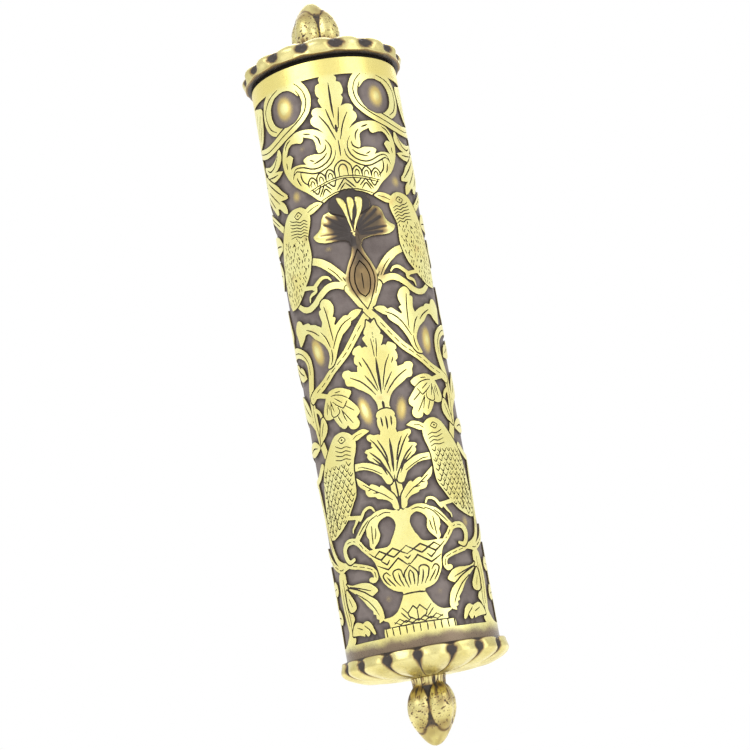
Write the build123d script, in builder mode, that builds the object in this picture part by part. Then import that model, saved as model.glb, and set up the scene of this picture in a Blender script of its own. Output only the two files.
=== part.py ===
"""A tubular brass mezuzah case, 143 mm tall, that holds a rolled 100 mm parchment.

Units are millimetres. +Z runs up the tube, -Y is the side that faces the room and +Y is the back that
goes against the doorpost. The origin is on the tube's axis, half-way between the two cap seats, near
the middle of the whole case, whose bottom finial has the longer stem. Both ends are built by the same
function on a seat plane: the plane where the cap's rim ends, with its normal pointing out of the case.
"""

import os
from math import cos, radians, sin

from build123d import *

os.makedirs("parts", exist_ok=True)

# Tube: sheet brass, rolled up and soldered along the back
tube_radius = 14.0
tube_wall = 0.8
tube_length = 109.2
shadow_gap = 0.8
bore_radius = tube_radius - tube_wall
seat_height = (tube_length + shadow_gap) / 2
tube_bottom = -seat_height
tube_top = tube_bottom + tube_length

# Back seam, the strip soldered behind it, and the two nail holes through both
seam_width = 0.25
seam_depth = 0.2
strip_thickness = 0.6
strip_width = 8.4
strip_bottom = -46.0
strip_top = 44.0
nail_hole_radius = 1.6
nail_hole_height = 38.0

# End cap: a cast dome with lobes parted by grooves, and a dimple in the rim at each groove
lobe_count = 16
rim_radius = 15.15
rim_height = 1.9
dome_height = 4.85
dome_points = [(13.55, 3.3), (11.0, 4.15), (7.3, 4.65)]
ceiling_height = 3.6
ceiling_radius = 5.4
ledge_radius = 12.0
socket_depth = 1.6
groove_radius = 0.42
groove_lift = 0.12
groove_inner_end = 4.4
dimple_radius = 1.6
dimple_centre_radius = 16.25
dimple_height = 1.0

# Collar: a ring soldered into the cap, which fits the tube's bore
fit_clearance = 0.05
collar_radius = bore_radius - fit_clearance
collar_wall = 0.8
push_fit_depth = 9.0
soldered_depth = 6.0
shoulder_radius = 13.6

# Finial: a flower bud on a stem, with a shank that a nut holds inside the cap
stem_base_radius = 3.6
stem_radius = 3.15
neck_radius = 3.0
bottom_stem_length = 2.0
top_stem_length = 0.9
bud_length = 10.25
bud_core_points = [(3.45, 3.1), (2.9, 6.2)]
bud_tip_radius = 0.9
petal_count = 4
petal_offset = 2.6
petal_half_width = 2.4
petal_half_height = 3.9
petal_centre = 3.4
shank_radius = 2.45
shank_clearance = 0.05
washer_radius = 5.0
washer_thickness = 0.6
nut_across_flats = 8.0
nut_height = 2.4
nut_chamfer = 0.4
shank_recess = 0.3
nut_face = ceiling_height - washer_thickness - nut_height

# Parchment, rolled; its wrapper; and the two ribbons round them
parchment_height = 100.0
parchment_thickness = 0.3
parchment_inner_radius = 3.15
parchment_step = 0.225
parchment_half_turns = 8
wrap_height = 95.0
wrap_thickness = 0.2
wrap_inner_radius = 5.35
wrap_step = 0.15
wrap_half_turns = 3
ribbon_inner_radius = 5.95
ribbon_thickness = 0.4
ribbon_width = 3.0
ribbon_spread = 27.0
scroll_bottom = -(seat_height + nut_face)
scroll_middle = scroll_bottom + parchment_height / 2

# How far each end's grooves and petals are turned about its own normal, in degrees
bottom_groove_turn = 94.3
top_groove_turn = -101.7
bottom_petal_turn = 45
top_petal_turn = 60


def keep(builder, name):
    """Labels a finished piece and writes it under its node's name."""
    builder.part.label = name
    export_step(builder.part, f"parts/{name}.step")


def half_section(seat):
    """The plane that cuts an end in half: its x runs outwards from the axis and its y along the seat's normal."""
    return Plane(origin=seat.origin, x_dir=seat.x_dir, z_dir=seat.x_dir.cross(seat.z_dir))


def build_groove(seat, turn):
    """The cutter for one groove: a round bar laid along the dome, from the rim to near the stem."""
    section = half_section(seat)
    start = (rim_radius + groove_lift, rim_height)
    end = (groove_inner_end, dome_height + groove_lift)
    lifted = [(radius + groove_lift, height + groove_lift) for radius, height in dome_points]
    with BuildPart() as groove:
        with BuildLine(section) as route:
            Spline(start, *lifted, end)
        with BuildSketch(Plane(origin=route.line @ 0, z_dir=route.line % 0)):
            Circle(groove_radius)
        sweep()
    return groove.part.rotate(Axis(seat.origin, seat.z_dir), turn)


def build_cap(name, seat, turn):
    """The domed cap: rim, socket for the collar, flat ceiling for the washer, grooves and rim dimples."""
    axis = Axis(seat.origin, seat.z_dir)
    groove = build_groove(seat, turn)
    with BuildPart() as cap:
        with BuildSketch(half_section(seat)):
            with BuildLine():
                Polyline((collar_radius, socket_depth), (collar_radius, 0), (rim_radius, 0),
                         (rim_radius, rim_height))
                Spline((rim_radius, rim_height), *dome_points, (shank_radius + shank_clearance, dome_height),
                       tangents=[(0, 1), (-1, 0)])
                Polyline((shank_radius + shank_clearance, dome_height),
                         (shank_radius + shank_clearance, ceiling_height), (ceiling_radius, ceiling_height))
                Spline((ceiling_radius, ceiling_height), (ledge_radius, socket_depth),
                       tangents=[(1, -0.1), (0.3, -1)])
                Line((ledge_radius, socket_depth), (collar_radius, socket_depth))
            make_face()
        revolve(axis=axis)
        for lobe in range(lobe_count):
            add(groove.rotate(axis, lobe * 360 / lobe_count), mode=Mode.SUBTRACT)
        with Locations(seat):
            with PolarLocations(dimple_centre_radius, lobe_count, start_angle=turn):
                with Locations((0, 0, dimple_height)):
                    Sphere(dimple_radius, mode=Mode.SUBTRACT)
    keep(cap, name)


def build_collar(name, seat, depth, shoulder):
    """The ring in the cap's socket: it reaches depth below the seat, with a shoulder where the cap stands off."""
    with BuildPart() as collar:
        with BuildSketch(seat.offset(-depth)):
            Circle(collar_radius)
            Circle(collar_radius - collar_wall, mode=Mode.SUBTRACT)
        extrude(amount=depth + socket_depth)
        if shoulder > 0:
            with BuildSketch(seat.offset(-shoulder)):
                Circle(shoulder_radius)
                Circle(collar_radius - collar_wall / 2, mode=Mode.SUBTRACT)
            extrude(amount=shoulder)
        chamfer(collar.edges().filter_by(GeomType.CIRCLE).group_by(SortBy.DISTANCE)[0], collar_wall / 4)
    keep(collar, name)


def build_finial(name, seat, stem_length, turn):
    """The bud, its stem and its shank, in one casting."""
    axis = Axis(seat.origin, seat.z_dir)
    neck_height = dome_height + stem_length
    tip_height = neck_height + bud_length
    core = [(radius, neck_height + height) for radius, height in bud_core_points]
    with BuildPart() as finial:
        with BuildSketch(half_section(seat)):
            with BuildLine():
                Polyline((0, tip_height), (0, nut_face + shank_recess), (shank_radius, nut_face + shank_recess),
                         (shank_radius, dome_height), (stem_base_radius, dome_height))
                Spline((stem_base_radius, dome_height), (stem_radius, dome_height + stem_length / 3),
                       (neck_radius, neck_height), tangents=[(-1, 1), (0, 1)])
                Spline((neck_radius, neck_height), *core, (bud_tip_radius, tip_height - bud_tip_radius / 2),
                       tangents=[(1, 1), (-1, 2)])
                Spline((bud_tip_radius, tip_height - bud_tip_radius / 2), (0, tip_height),
                       tangents=[(-1, 2), (-1, 0)])
            make_face()
        revolve(axis=axis)
        for petal in range(petal_count):
            angle = radians(turn + petal * 360 / petal_count)
            centre = seat.from_local_coords(
                (petal_offset * cos(angle), petal_offset * sin(angle), neck_height + petal_centre)
            )
            petal_axis = Axis(centre, seat.z_dir)
            with BuildSketch(half_section(Plane(origin=centre, x_dir=seat.x_dir, z_dir=seat.z_dir))):
                Ellipse(petal_half_width, petal_half_height)
                with Locations((-petal_half_width, 0)):
                    Rectangle(2 * petal_half_width, 3 * petal_half_height, mode=Mode.SUBTRACT)
            revolve(axis=petal_axis)
    keep(finial, name)


def build_washer(name, seat):
    """The washer between the cap's ceiling and the nut."""
    with BuildPart() as washer:
        with BuildSketch(seat.offset(nut_face + nut_height)):
            Circle(washer_radius)
            Circle(shank_radius + shank_clearance, mode=Mode.SUBTRACT)
        extrude(amount=washer_thickness)
    keep(washer, name)


def build_nut(name, seat):
    """The hexagonal nut on the finial's shank, with its corners chamfered."""
    with BuildPart() as nut:
        with BuildSketch(seat.offset(nut_face)):
            RegularPolygon(nut_across_flats / 2, 6, major_radius=False)
        extrude(amount=nut_height)
        with BuildSketch(seat.offset(nut_face)):
            Circle(nut_across_flats / 2 + nut_chamfer)
        extrude(amount=nut_height, mode=Mode.INTERSECT)
        with BuildSketch(seat.offset(nut_face)):
            Circle(shank_radius + shank_clearance)
        extrude(amount=nut_height, mode=Mode.SUBTRACT)
    keep(nut, name)


def build_end(prefix, seat, turn, collar_depth, shoulder, stem_length, petal_turn):
    """One whole end: cap, collar, finial, washer and nut."""
    build_cap(f"{prefix}_cap", seat, turn)
    build_collar(f"{prefix}_collar", seat, collar_depth, shoulder)
    build_finial(f"{prefix}_finial", seat, stem_length, petal_turn)
    build_washer(f"{prefix}_washer", seat)
    build_nut(f"{prefix}_nut", seat)


def build_roll(name, bottom, height, inner_radius, thickness, step, half_turns):
    """A rolled sheet: half circles whose radius grows by step, about two centres that are step apart."""
    with BuildPart() as roll:
        with BuildSketch(Plane.XY.offset(bottom)):
            with BuildLine():
                for side in (0, thickness):
                    for turn in range(half_turns):
                        centre = (step * (turn % 2), 0)
                        radius = inner_radius + step * turn + side
                        CenterArc(centre, radius, 180 * (turn % 2), 180)
                last = half_turns - 1
                end_sign = -1 if half_turns % 2 else 1
                end_x = step * (last % 2) + end_sign * (inner_radius + step * last)
                Line((inner_radius, 0), (inner_radius + thickness, 0))
                Line((end_x, 0), (end_x + end_sign * thickness, 0))
            make_face()
        extrude(amount=height)
    keep(roll, name)


# Tube, with the seam as a shallow line down the back
with BuildPart() as tube:
    with BuildSketch(Plane.XY.offset(tube_bottom)):
        Circle(tube_radius)
        Circle(bore_radius, mode=Mode.SUBTRACT)
    extrude(amount=tube_length)
    with BuildSketch(Plane.XY.offset(tube_bottom)):
        with Locations((0, tube_radius)):
            Rectangle(seam_width, 2 * seam_depth)
    extrude(amount=tube_length, mode=Mode.SUBTRACT)
    with BuildSketch(Plane.XZ):
        with Locations((0, -nail_hole_height), (0, nail_hole_height)):
            Circle(nail_hole_radius)
    extrude(amount=-rim_radius, mode=Mode.SUBTRACT)
keep(tube, "tube")

# Strip behind the seam, curved to the bore and drilled with the tube
with BuildPart() as seam_strip:
    with BuildSketch(Plane.XY.offset(strip_bottom)):
        Circle(bore_radius)
        Circle(bore_radius - strip_thickness, mode=Mode.SUBTRACT)
        with Locations((0, bore_radius)):
            Rectangle(strip_width, bore_radius, mode=Mode.INTERSECT)
    extrude(amount=strip_top - strip_bottom)
    with BuildSketch(Plane.XZ):
        with Locations((0, -nail_hole_height), (0, nail_hole_height)):
            Circle(nail_hole_radius)
    extrude(amount=-rim_radius, mode=Mode.SUBTRACT)
keep(seam_strip, "seam_strip")

# Both ends: the bottom one is soldered in flush, and the top one is the push-fit lid
bottom_seat = Plane(origin=(0, 0, -seat_height), x_dir=(1, 0, 0), z_dir=(0, 0, -1))
top_seat = Plane(origin=(0, 0, seat_height), x_dir=(1, 0, 0), z_dir=(0, 0, 1))
build_end("bottom", bottom_seat, bottom_groove_turn, soldered_depth, 0, bottom_stem_length, bottom_petal_turn)
build_end("top", top_seat, top_groove_turn, shadow_gap + push_fit_depth, shadow_gap, top_stem_length,
          top_petal_turn)

# The scroll stands on the bottom nut
build_roll("parchment_scroll", scroll_bottom, parchment_height, parchment_inner_radius,
           parchment_thickness, parchment_step, parchment_half_turns)
build_roll("scroll_wrap", scroll_middle - wrap_height / 2, wrap_height, wrap_inner_radius,
           wrap_thickness, wrap_step, wrap_half_turns)

with BuildPart() as scroll_ribbons:
    for height in (scroll_middle - ribbon_spread, scroll_middle + ribbon_spread):
        with BuildSketch(Plane.XY.offset(height - ribbon_width / 2)):
            Circle(ribbon_inner_radius + ribbon_thickness)
            Circle(ribbon_inner_radius, mode=Mode.SUBTRACT)
        extrude(amount=ribbon_width)
keep(scroll_ribbons, "scroll_ribbons")
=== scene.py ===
"""Looks of the etched brass mezuzah case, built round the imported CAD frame.

The tube's skin is made from an ornament drawn on the unrolled sheet: s runs round the tube from the line
that faces the room, z runs up from the tube's lower end, both in millimetres. The ornament is a raised field
over an etched ground. It is drawn once for half of the front, and repeated by mirrors round the tube.
"""

import math

import bpy
import numpy as np
from mathutils import Matrix, Vector
from mathutils.geometry import delaunay_2d_cdt


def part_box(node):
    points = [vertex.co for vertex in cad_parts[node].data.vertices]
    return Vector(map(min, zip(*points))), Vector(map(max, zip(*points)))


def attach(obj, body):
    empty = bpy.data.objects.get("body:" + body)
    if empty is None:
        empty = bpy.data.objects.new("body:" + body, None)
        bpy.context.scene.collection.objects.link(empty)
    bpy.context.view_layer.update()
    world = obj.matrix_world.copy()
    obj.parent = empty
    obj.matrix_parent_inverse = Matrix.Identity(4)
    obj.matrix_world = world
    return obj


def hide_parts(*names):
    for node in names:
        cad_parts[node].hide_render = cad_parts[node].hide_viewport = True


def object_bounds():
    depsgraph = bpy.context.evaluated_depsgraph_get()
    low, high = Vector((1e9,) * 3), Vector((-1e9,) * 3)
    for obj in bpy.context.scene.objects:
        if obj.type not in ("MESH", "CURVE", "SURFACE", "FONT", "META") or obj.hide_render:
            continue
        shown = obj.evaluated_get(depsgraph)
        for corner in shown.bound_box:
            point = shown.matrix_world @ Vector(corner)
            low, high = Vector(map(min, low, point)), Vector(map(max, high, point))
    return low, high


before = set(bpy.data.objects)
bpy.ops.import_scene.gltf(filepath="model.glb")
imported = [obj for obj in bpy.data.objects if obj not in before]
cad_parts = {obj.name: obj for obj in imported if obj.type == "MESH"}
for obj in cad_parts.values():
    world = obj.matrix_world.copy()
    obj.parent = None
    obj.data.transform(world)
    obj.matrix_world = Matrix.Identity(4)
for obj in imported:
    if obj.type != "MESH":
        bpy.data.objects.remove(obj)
cad_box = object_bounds()

MM = 0.001

# The tube, from its CAD node, in millimetres
tube_low, tube_high = (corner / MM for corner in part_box("tube"))
TUBE_RADIUS = round(tube_high.x, 1)
TUBE_LENGTH = round(tube_high.z - tube_low.z, 2)
TUBE_BOTTOM = round(tube_low.z, 2)
BORE_RADIUS = 13.2
HALF_TURN = math.pi * TUBE_RADIUS
NAIL_HOLE_RADIUS = 1.6
NAIL_HOLE_SPACING = 76.0
NAIL_HOLE_HEIGHTS = [NAIL_HOLE_SPACING / 2 * side - TUBE_BOTTOM for side in (-1, 1)]
SEAM_WIDTH = 0.25

# The etched relief
ETCH_DEPTH = 0.35
BEVEL_WIDTH = 0.06
BEVEL_DROP = 0.035
CELL = 0.09
OUTLINE_SLACK = 0.020
BEVEL_SLACK = 0.026
OUTLINE_GAP = 0.27
CUT_WIDTH = 0.28

# The four copies of each motif, as (offset, mirror sign): front right, front left, back right, back left
FRONT_RIGHT, FRONT_LEFT = (0, 1), (0, -1)
BACK_RIGHT, BACK_LEFT = (HALF_TURN, -1), (-HALF_TURN, 1)
ALL_COPIES = (FRONT_RIGHT, FRONT_LEFT, BACK_RIGHT, BACK_LEFT)
RIGHT_COPIES = (FRONT_RIGHT, BACK_RIGHT)
LEFT_COPIES = (FRONT_LEFT, BACK_LEFT)

rng = np.random.default_rng(18)


def smoothstep(value, low, high):
    """0 below low, 1 above high, and a smooth rise between."""
    share = np.clip((value - low) / (high - low), 0, 1)
    return share * share * (3 - 2 * share)


def value_noise(x, y, cell, seed):
    """Smooth noise from -1 to 1 with features about one cell wide."""
    lattice = np.random.default_rng(seed).uniform(-1, 1, (256, 256))
    column, row = x / cell + 1000.0, y / cell + 1000.0
    left, low = np.floor(column).astype(int), np.floor(row).astype(int)
    across, up = column - left, row - low
    across, up = across * across * (3 - 2 * across), up * up * (3 - 2 * up)
    corner = [lattice[(left + i) % 256, (low + j) % 256] for j in (0, 1) for i in (0, 1)]
    bottom = corner[0] + (corner[1] - corner[0]) * across
    top = corner[2] + (corner[3] - corner[2]) * across
    return bottom + (top - bottom) * up


def centre_line(height):
    """How far the ornament's own centre stands to the right of the facing line."""
    return 0.15 + 0.6 * smoothstep(height, 5, 60)


# The unrolled sheet as a grid, with coordinates shaken a little, as a hand-drawn resist is
columns = int(round(2 * HALF_TURN / CELL)) + 1
rows = int(round(TUBE_LENGTH / CELL)) + 1
sheet_s, sheet_z = np.meshgrid(
    np.linspace(-HALF_TURN, HALF_TURN, columns), np.linspace(0, TUBE_LENGTH, rows)
)


def shaken(s, z):
    """Where a point of the sheet lies in the drawing, as (u, height)."""
    drawn_s = s + 0.13 * value_noise(s, z, 5.0, 1) + 0.035 * value_noise(s, z, 0.55, 2)
    drawn_z = z + 0.13 * value_noise(s, z, 5.0, 3) + 0.035 * value_noise(s, z, 0.55, 4)
    front = 1 - smoothstep(np.abs(s), HALF_TURN / 2, HALF_TURN)
    return drawn_s - centre_line(drawn_z) * front, drawn_z


sheet_u, drawn_z = shaken(sheet_s, sheet_z)
field = np.full(sheet_s.shape, -9.0)


def smooth_path(points, closed):
    """A curve through the points, as short straight steps. A point with a third value is a sharp corner."""
    count = len(points)
    spots = [np.array(point[:2], float) for point in points]
    sharp = [len(point) > 2 for point in points]
    path = []
    for i in range(count if closed else count - 1):
        here, there = spots[i], spots[(i + 1) % count]
        before = spots[i - 1] if (closed or i > 0) and not sharp[i] else 2 * here - there
        last = not closed and i == count - 2
        after = spots[(i + 2) % count] if not last and not sharp[(i + 1) % count] else 2 * there - here
        steps = max(2, int(np.hypot(*(there - here)) / 0.3))
        for t in np.arange(steps) / steps:
            path.append(0.5 * (2 * here + (there - before) * t
                               + (2 * before - 5 * here + 4 * there - after) * t ** 2
                               + (3 * here - before - 3 * there + after) * t ** 3))
    if not closed:
        path.append(spots[-1])
    return np.array(path)


def from_face(points):
    """Points given by their distance from the facing line, as distances from the ornament's centre."""
    return [(point[0] - float(centre_line(point[1])), *point[1:]) for point in points]


def depth_inside(path, x, y):
    """How deep each place lies inside a closed path, and below 0 outside it."""
    nearest = np.full(x.shape, 81.0)
    inside = np.zeros(x.shape, bool)
    for (ax, ay), (bx, by) in zip(path, np.roll(path, -1, axis=0)):
        dx, dy = bx - ax, by - ay
        share = np.clip(((x - ax) * dx + (y - ay) * dy) / max(dx * dx + dy * dy, 1e-12), 0, 1)
        np.minimum(nearest, (x - ax - share * dx) ** 2 + (y - ay - share * dy) ** 2, out=nearest)
        if ay != by:
            inside ^= ((ay > y) != (by > y)) & (x < dx * (y - ay) / dy + ax)
    return np.where(inside, 1, -1) * np.sqrt(nearest)


def depth_in_stroke(path, widths, x, y):
    """How deep each place lies inside a stroke whose width changes evenly along the path."""
    lengths = np.concatenate([[0], np.cumsum(np.hypot(*np.diff(path, axis=0).T))])
    half = np.interp(lengths / lengths[-1], np.linspace(0, 1, len(widths)), widths) / 2
    best = np.full(x.shape, -9.0)
    for i in range(len(path) - 1):
        (ax, ay), (bx, by) = path[i], path[i + 1]
        dx, dy = bx - ax, by - ay
        share = np.clip(((x - ax) * dx + (y - ay) * dy) / max(dx * dx + dy * dy, 1e-12), 0, 1)
        away = np.hypot(x - ax - share * dx, y - ay - share * dy)
        np.maximum(best, half[i] + (half[i + 1] - half[i]) * share - away, out=best)
    return best


def window(path, copy, margin):
    """The part of the grid round one copy of a path, and its places in the path's own coordinates."""
    offset, sign = copy
    low_u, high_u = sorted(offset + sign * path[:, 0][[path[:, 0].argmin(), path[:, 0].argmax()]])
    reach = margin + 1.1
    first = max(0, int((low_u - reach + HALF_TURN) / CELL))
    last = min(columns, int((high_u + reach + HALF_TURN) / CELL) + 2)
    low = max(0, int((path[:, 1].min() - reach) / CELL))
    high = min(rows, int((path[:, 1].max() + reach) / CELL) + 2)
    if first >= last or low >= high:
        return None
    part = (slice(low, high), slice(first, last))
    return part, sign * (sheet_u[part] - offset), drawn_z[part]


def raise_shape(path, depth_of, gap, copies, margin):
    """Raises a shape. With a gap it cuts an outline round itself where it crosses what is already there."""
    laid = []
    for copy in copies:
        found = window(path, copy, margin)
        if found:
            part, x, y = found
            laid.append((part, depth_of(x, y)))
    if gap:
        for part, depth in laid:
            field[part] = np.minimum(field[part], -depth - gap)
    for part, depth in laid:
        field[part] = np.maximum(field[part], depth)


def from_nail_hole(s, z):
    """The distance of each place from the middle of the nearer nail hole, which lies on the seam."""
    return np.min([np.hypot(HALF_TURN - np.abs(s), z - height) for height in NAIL_HOLE_HEIGHTS], axis=0)


def fill(points, gap=0.0, copies=ALL_COPIES):
    """A raised shape with a closed outline."""
    path = smooth_path(points, closed=True)
    raise_shape(path, lambda x, y: depth_inside(path, x, y), gap, copies, 0.6)


def hole(points, copies=ALL_COPIES):
    """An opening in a raised shape, with a closed outline."""
    path = smooth_path(points, closed=True)
    for copy in copies:
        found = window(path, copy, 0.6)
        if found:
            part, x, y = found
            field[part] = np.minimum(field[part], -depth_inside(path, x, y))


def stroke(points, widths, gap=0.0, copies=ALL_COPIES):
    """A raised band along an open curve."""
    path = smooth_path(points, closed=False)
    raise_shape(path, lambda x, y: depth_in_stroke(path, widths, x, y), gap, copies, 0.6 + max(widths) / 2)


def cut(points, width=CUT_WIDTH, copies=ALL_COPIES, ends=(0.14, 0.14)):
    """An engraved line, thinner at its ends."""
    path = smooth_path(points, closed=False)
    widths = (ends[0], width, width, width, ends[1])
    for copy in copies:
        found = window(path, copy, 0.4)
        if found:
            part, x, y = found
            field[part] = np.minimum(field[part], -depth_in_stroke(path, widths, x, y))


def cut_all(lines, width=CUT_WIDTH, copies=ALL_COPIES):
    for line in lines:
        cut(line, width, copies)


def cut_from_face(lines, width=CUT_WIDTH):
    """Engraved lines given by their distance from the facing line."""
    cut_all([from_face(line) for line in lines], width)


def lay(points):
    """A raised shape given by its distance from the facing line, with an outline cut round it."""
    fill(from_face(points), OUTLINE_GAP)


def dashes(points, dash, space, width, copies=ALL_COPIES):
    """A broken engraved line."""
    path = smooth_path(points, closed=False)
    lengths = np.concatenate([[0], np.cumsum(np.hypot(*np.diff(path, axis=0).T))])
    start = space / 2
    while start + dash < lengths[-1]:
        stretch = np.linspace(start, start + dash, 3)
        cut([(np.interp(at, lengths, path[:, 0]), np.interp(at, lengths, path[:, 1])) for at in stretch],
            width, copies)
        start += dash + space


def scatter(outline, spacing, inset, jitter):
    """Places spread evenly but not in rows over the inside of an outline."""
    path = smooth_path(outline, closed=True)
    low, high = path.min(axis=0), path.max(axis=0)
    places = []
    for row, y in enumerate(np.arange(low[1], high[1], spacing[1])):
        for x in np.arange(low[0] + spacing[0] * (row % 2) / 2, high[0], spacing[0]):
            places.append((x, y) + rng.uniform(-jitter, jitter, 2))
    places = np.array(places)
    return places[depth_inside(path, places[:, 0], places[:, 1]) > inset]


def oval(x, y, half_width, half_height):
    """An oval's outline."""
    return [(x + half_width * math.cos(turn), y + half_height * math.sin(turn))
            for turn in 2 * math.pi * np.arange(12) / 12]


def arch(x, y, width, height, lean=0.0):
    """An arch's line, from its left foot over its top to its right foot."""
    half = width / 2
    return [(x - half, y), (x - half * 0.9 + lean / 2, y + height * 0.6), (x + lean, y + height),
            (x + half * 0.9 + lean / 2, y + height * 0.6), (x + half, y)]


# ---------------------------------------------------------------- the ornament, from the top down

def draw_palmette():
    fill([(0, 106.5), (0.9, 106.2), (1.7, 105.4), (1.5, 104.6, 1), (2.3, 104.3), (2.6, 103.2), (2.4, 102.2),
          (2.0, 101.9, 1), (2.3, 101.4), (2.0, 100.4), (1.6, 99.7, 1), (2.6, 100.1), (3.6, 99.9),
          (3.95, 99.2), (3.7, 98.7, 1), (4.3, 98.2), (4.35, 97.3), (3.9, 96.6), (3.3, 96.2, 1), (2.25, 95),
          (1.15, 93.5), (0.85, 92), (1.2, 89.5), (0, 89.4), (-0.6, 92), (-0.6, 100), (-0.6, 104)])
    cut([(0, 104.5), (0.05, 101), (0, 97.5)], 0.3)
    cut([(0, 96.3), (0, 94.8)], 0.55)
    cut_all([
        [(0, 93.3), (0, 90.2)], [(1.2, 99.5), (0.75, 97.2), (0.4, 95.5)],
        [(2.65, 98.5), (1.45, 96.3), (0.45, 93.4)]])


def draw_crown():
    fill([(-1, 90), (0, 89.3), (0.75, 90.3), (0.85, 91.5), (1.15, 93.5), (2.25, 95), (4.25, 96.2),
          (6.75, 96.6), (9.25, 96.2), (11.05, 94.8), (11.85, 92.8), (11.85, 91), (11.25, 89), (9.75, 86.6),
          (7.25, 84.6), (5.65, 82.9, 1), (4.6, 82.1, 1), (3.4, 82.8), (1.8, 83.2), (0, 83.3), (-1, 83.3)])
    hole(from_face([(5, 92.5), (5.2, 94.2), (7.1, 95.2, 1), (7.2, 94.6), (7.8, 94.2), (9, 94.6), (10, 94.6),
                    (10.8, 94), (11.2, 93.2), (11.6, 92.6, 1), (10.6, 92.8), (9.9, 92.1, 1), (10.4, 91),
                    (10.9, 90, 1), (10.3, 90.3), (9, 90.4), (8, 90.2), (7.4, 90, 1), (7.9, 90.9), (7, 91.4),
                    (5.5, 91.5), (4.7, 91.3), (4.9, 91.8)]))
    cut_from_face((
        [(10, 95.6), (11, 95), (11.7, 94)], [(5.7, 95.4), (6.9, 95.8)],
        [(4.1, 93), (4.3, 94.2), (5, 95)], [(3.2, 91.2), (3.9, 90.5), (4.9, 90), (6, 89.7)],
        [(3.1, 93.8), (2.5, 92.8), (2.3, 91.7), (2.6, 90.6), (3.5, 89.5), (5, 88.8), (6.5, 88.9), (8, 89.6),
         (9.2, 89.9), (10, 89.6), (10.4, 88.8)],
        [(1.6, 91.5), (1.9, 90.2), (3, 88.9), (4.5, 88.1), (6, 87.9), (7.5, 88.4), (8.8, 89), (9.5, 89.3),
         (10.2, 88.9), (10.7, 88.1)],
        [(3.2, 92.8), (3.4, 92), (4.2, 91.4), (5, 91.4)], [(5.8, 90.2), (6.6, 90.6)],
        [(8.8, 88.9), (8.9, 88), (8.6, 87), (7.8, 86.2), (7.5, 86)],
        [(9.8, 88.1), (9.6, 87.2), (9.2, 86.4)], [(11.6, 91.6), (11.6, 90.4)]), 0.28)
    # The row of arches, the band of triangles under it, and the brim
    cut([(-1.55, 86.4), (-1.5, 88.3), (0, 89.4), (1.5, 88.3), (1.6, 86.4)], copies=RIGHT_COPIES)
    cut([(-0.8, 86.4), (-0.75, 88), (0, 88.65), (0.75, 88), (0.8, 86.4)], copies=RIGHT_COPIES)
    for middle, foot in ((2.5, 86.3), (4.3, 86.0), (6.1, 85.6)):
        cut(arch(middle, foot, 1.7, 1.75, 0.1))
        cut(arch(middle, foot, 0.8, 1.05, 0.05), 0.22)
    cut([(-0.2, 86.4), (2, 86.15), (4.5, 85.6), (6.8, 84.9)], 0.2)
    cut([(-0.2, 86.0), (2, 85.75), (4.5, 85.2), (6.4, 84.6)], 0.2)
    cut_from_face((
        [(0.7, 86), (2.5, 83.9)], [(0.8, 85), (1.9, 83.8)], [(2.3, 86), (2.9, 84.7), (3.9, 85.6)],
        [(4.7, 85.5), (3.4, 84.2)], [(4.7, 85.4), (5.9, 83.4)],
        [(3.7, 83.6), (4.6, 84.6), (5.4, 83.3)], [(5.4, 85.5), (6.2, 84), (7.2, 85.1)]))
    cut([(-0.2, 83.75), (2.2, 83.5), (4.9, 82.55)], 0.22)


def draw_top_loops():
    stem = from_face(
        [(7.6, 106.2), (6.2, 104.9), (5.4, 103.3), (5.35, 101.7), (5.9, 100.2), (7.3, 98.8), (9.2, 97.7),
         (11.2, 96.9), (13.5, 96.1), (16, 95.7), (18.5, 95.9), (21, 96.6), (23, 97.6)])
    curl = from_face(
        [(9.5, 106.2), (12, 105.8), (14.2, 104.6), (15.2, 102.7), (15.2, 100.6), (14.2, 98.9), (12.6, 98),
         (11.6, 98.2)])
    fill(from_face(oval(10.0, 101.6, 4.6, 4.6)))
    stroke(curl, (2.1, 2.1, 2.0, 1.2))
    stroke(stem, (1.95, 1.95), OUTLINE_GAP)
    hole(from_face(oval(10.0, 101.65, 3.7, 3.55)))
    stroke(from_face(oval(10.0, 101.65, 4.15, 4.0)[2:6]), (0.95, 0.95))
    cut(stem, 0.22)
    cut(from_face([(11, 105.9), (13.4, 105), (15, 103.6), (15.45, 102.6), (15.4, 101), (14.5, 99.2),
                   (12.9, 98.1)]))
    cut(from_face([(6.9, 104.3), (6.3, 102.9), (6.2, 101.7), (6.7, 100.6)]), 0.2)
    fill([(15.9, 104.2), (17.5, 104.9), (20, 105.6), (22.5, 105.9), (22.5, 97.9), (20, 97.7), (18, 98.3),
          (16.9, 99.8), (16.3, 101.8)], OUTLINE_GAP)
    cut_all([
        [(17, 103.4), (18.5, 101.5), (20, 99.5)], [(18.6, 104.4), (19.8, 102.6), (21, 100.4)],
        [(17, 101.5), (17.9, 100.2), (19, 99)], [(20.6, 104.8), (21.4, 103)]])


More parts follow.
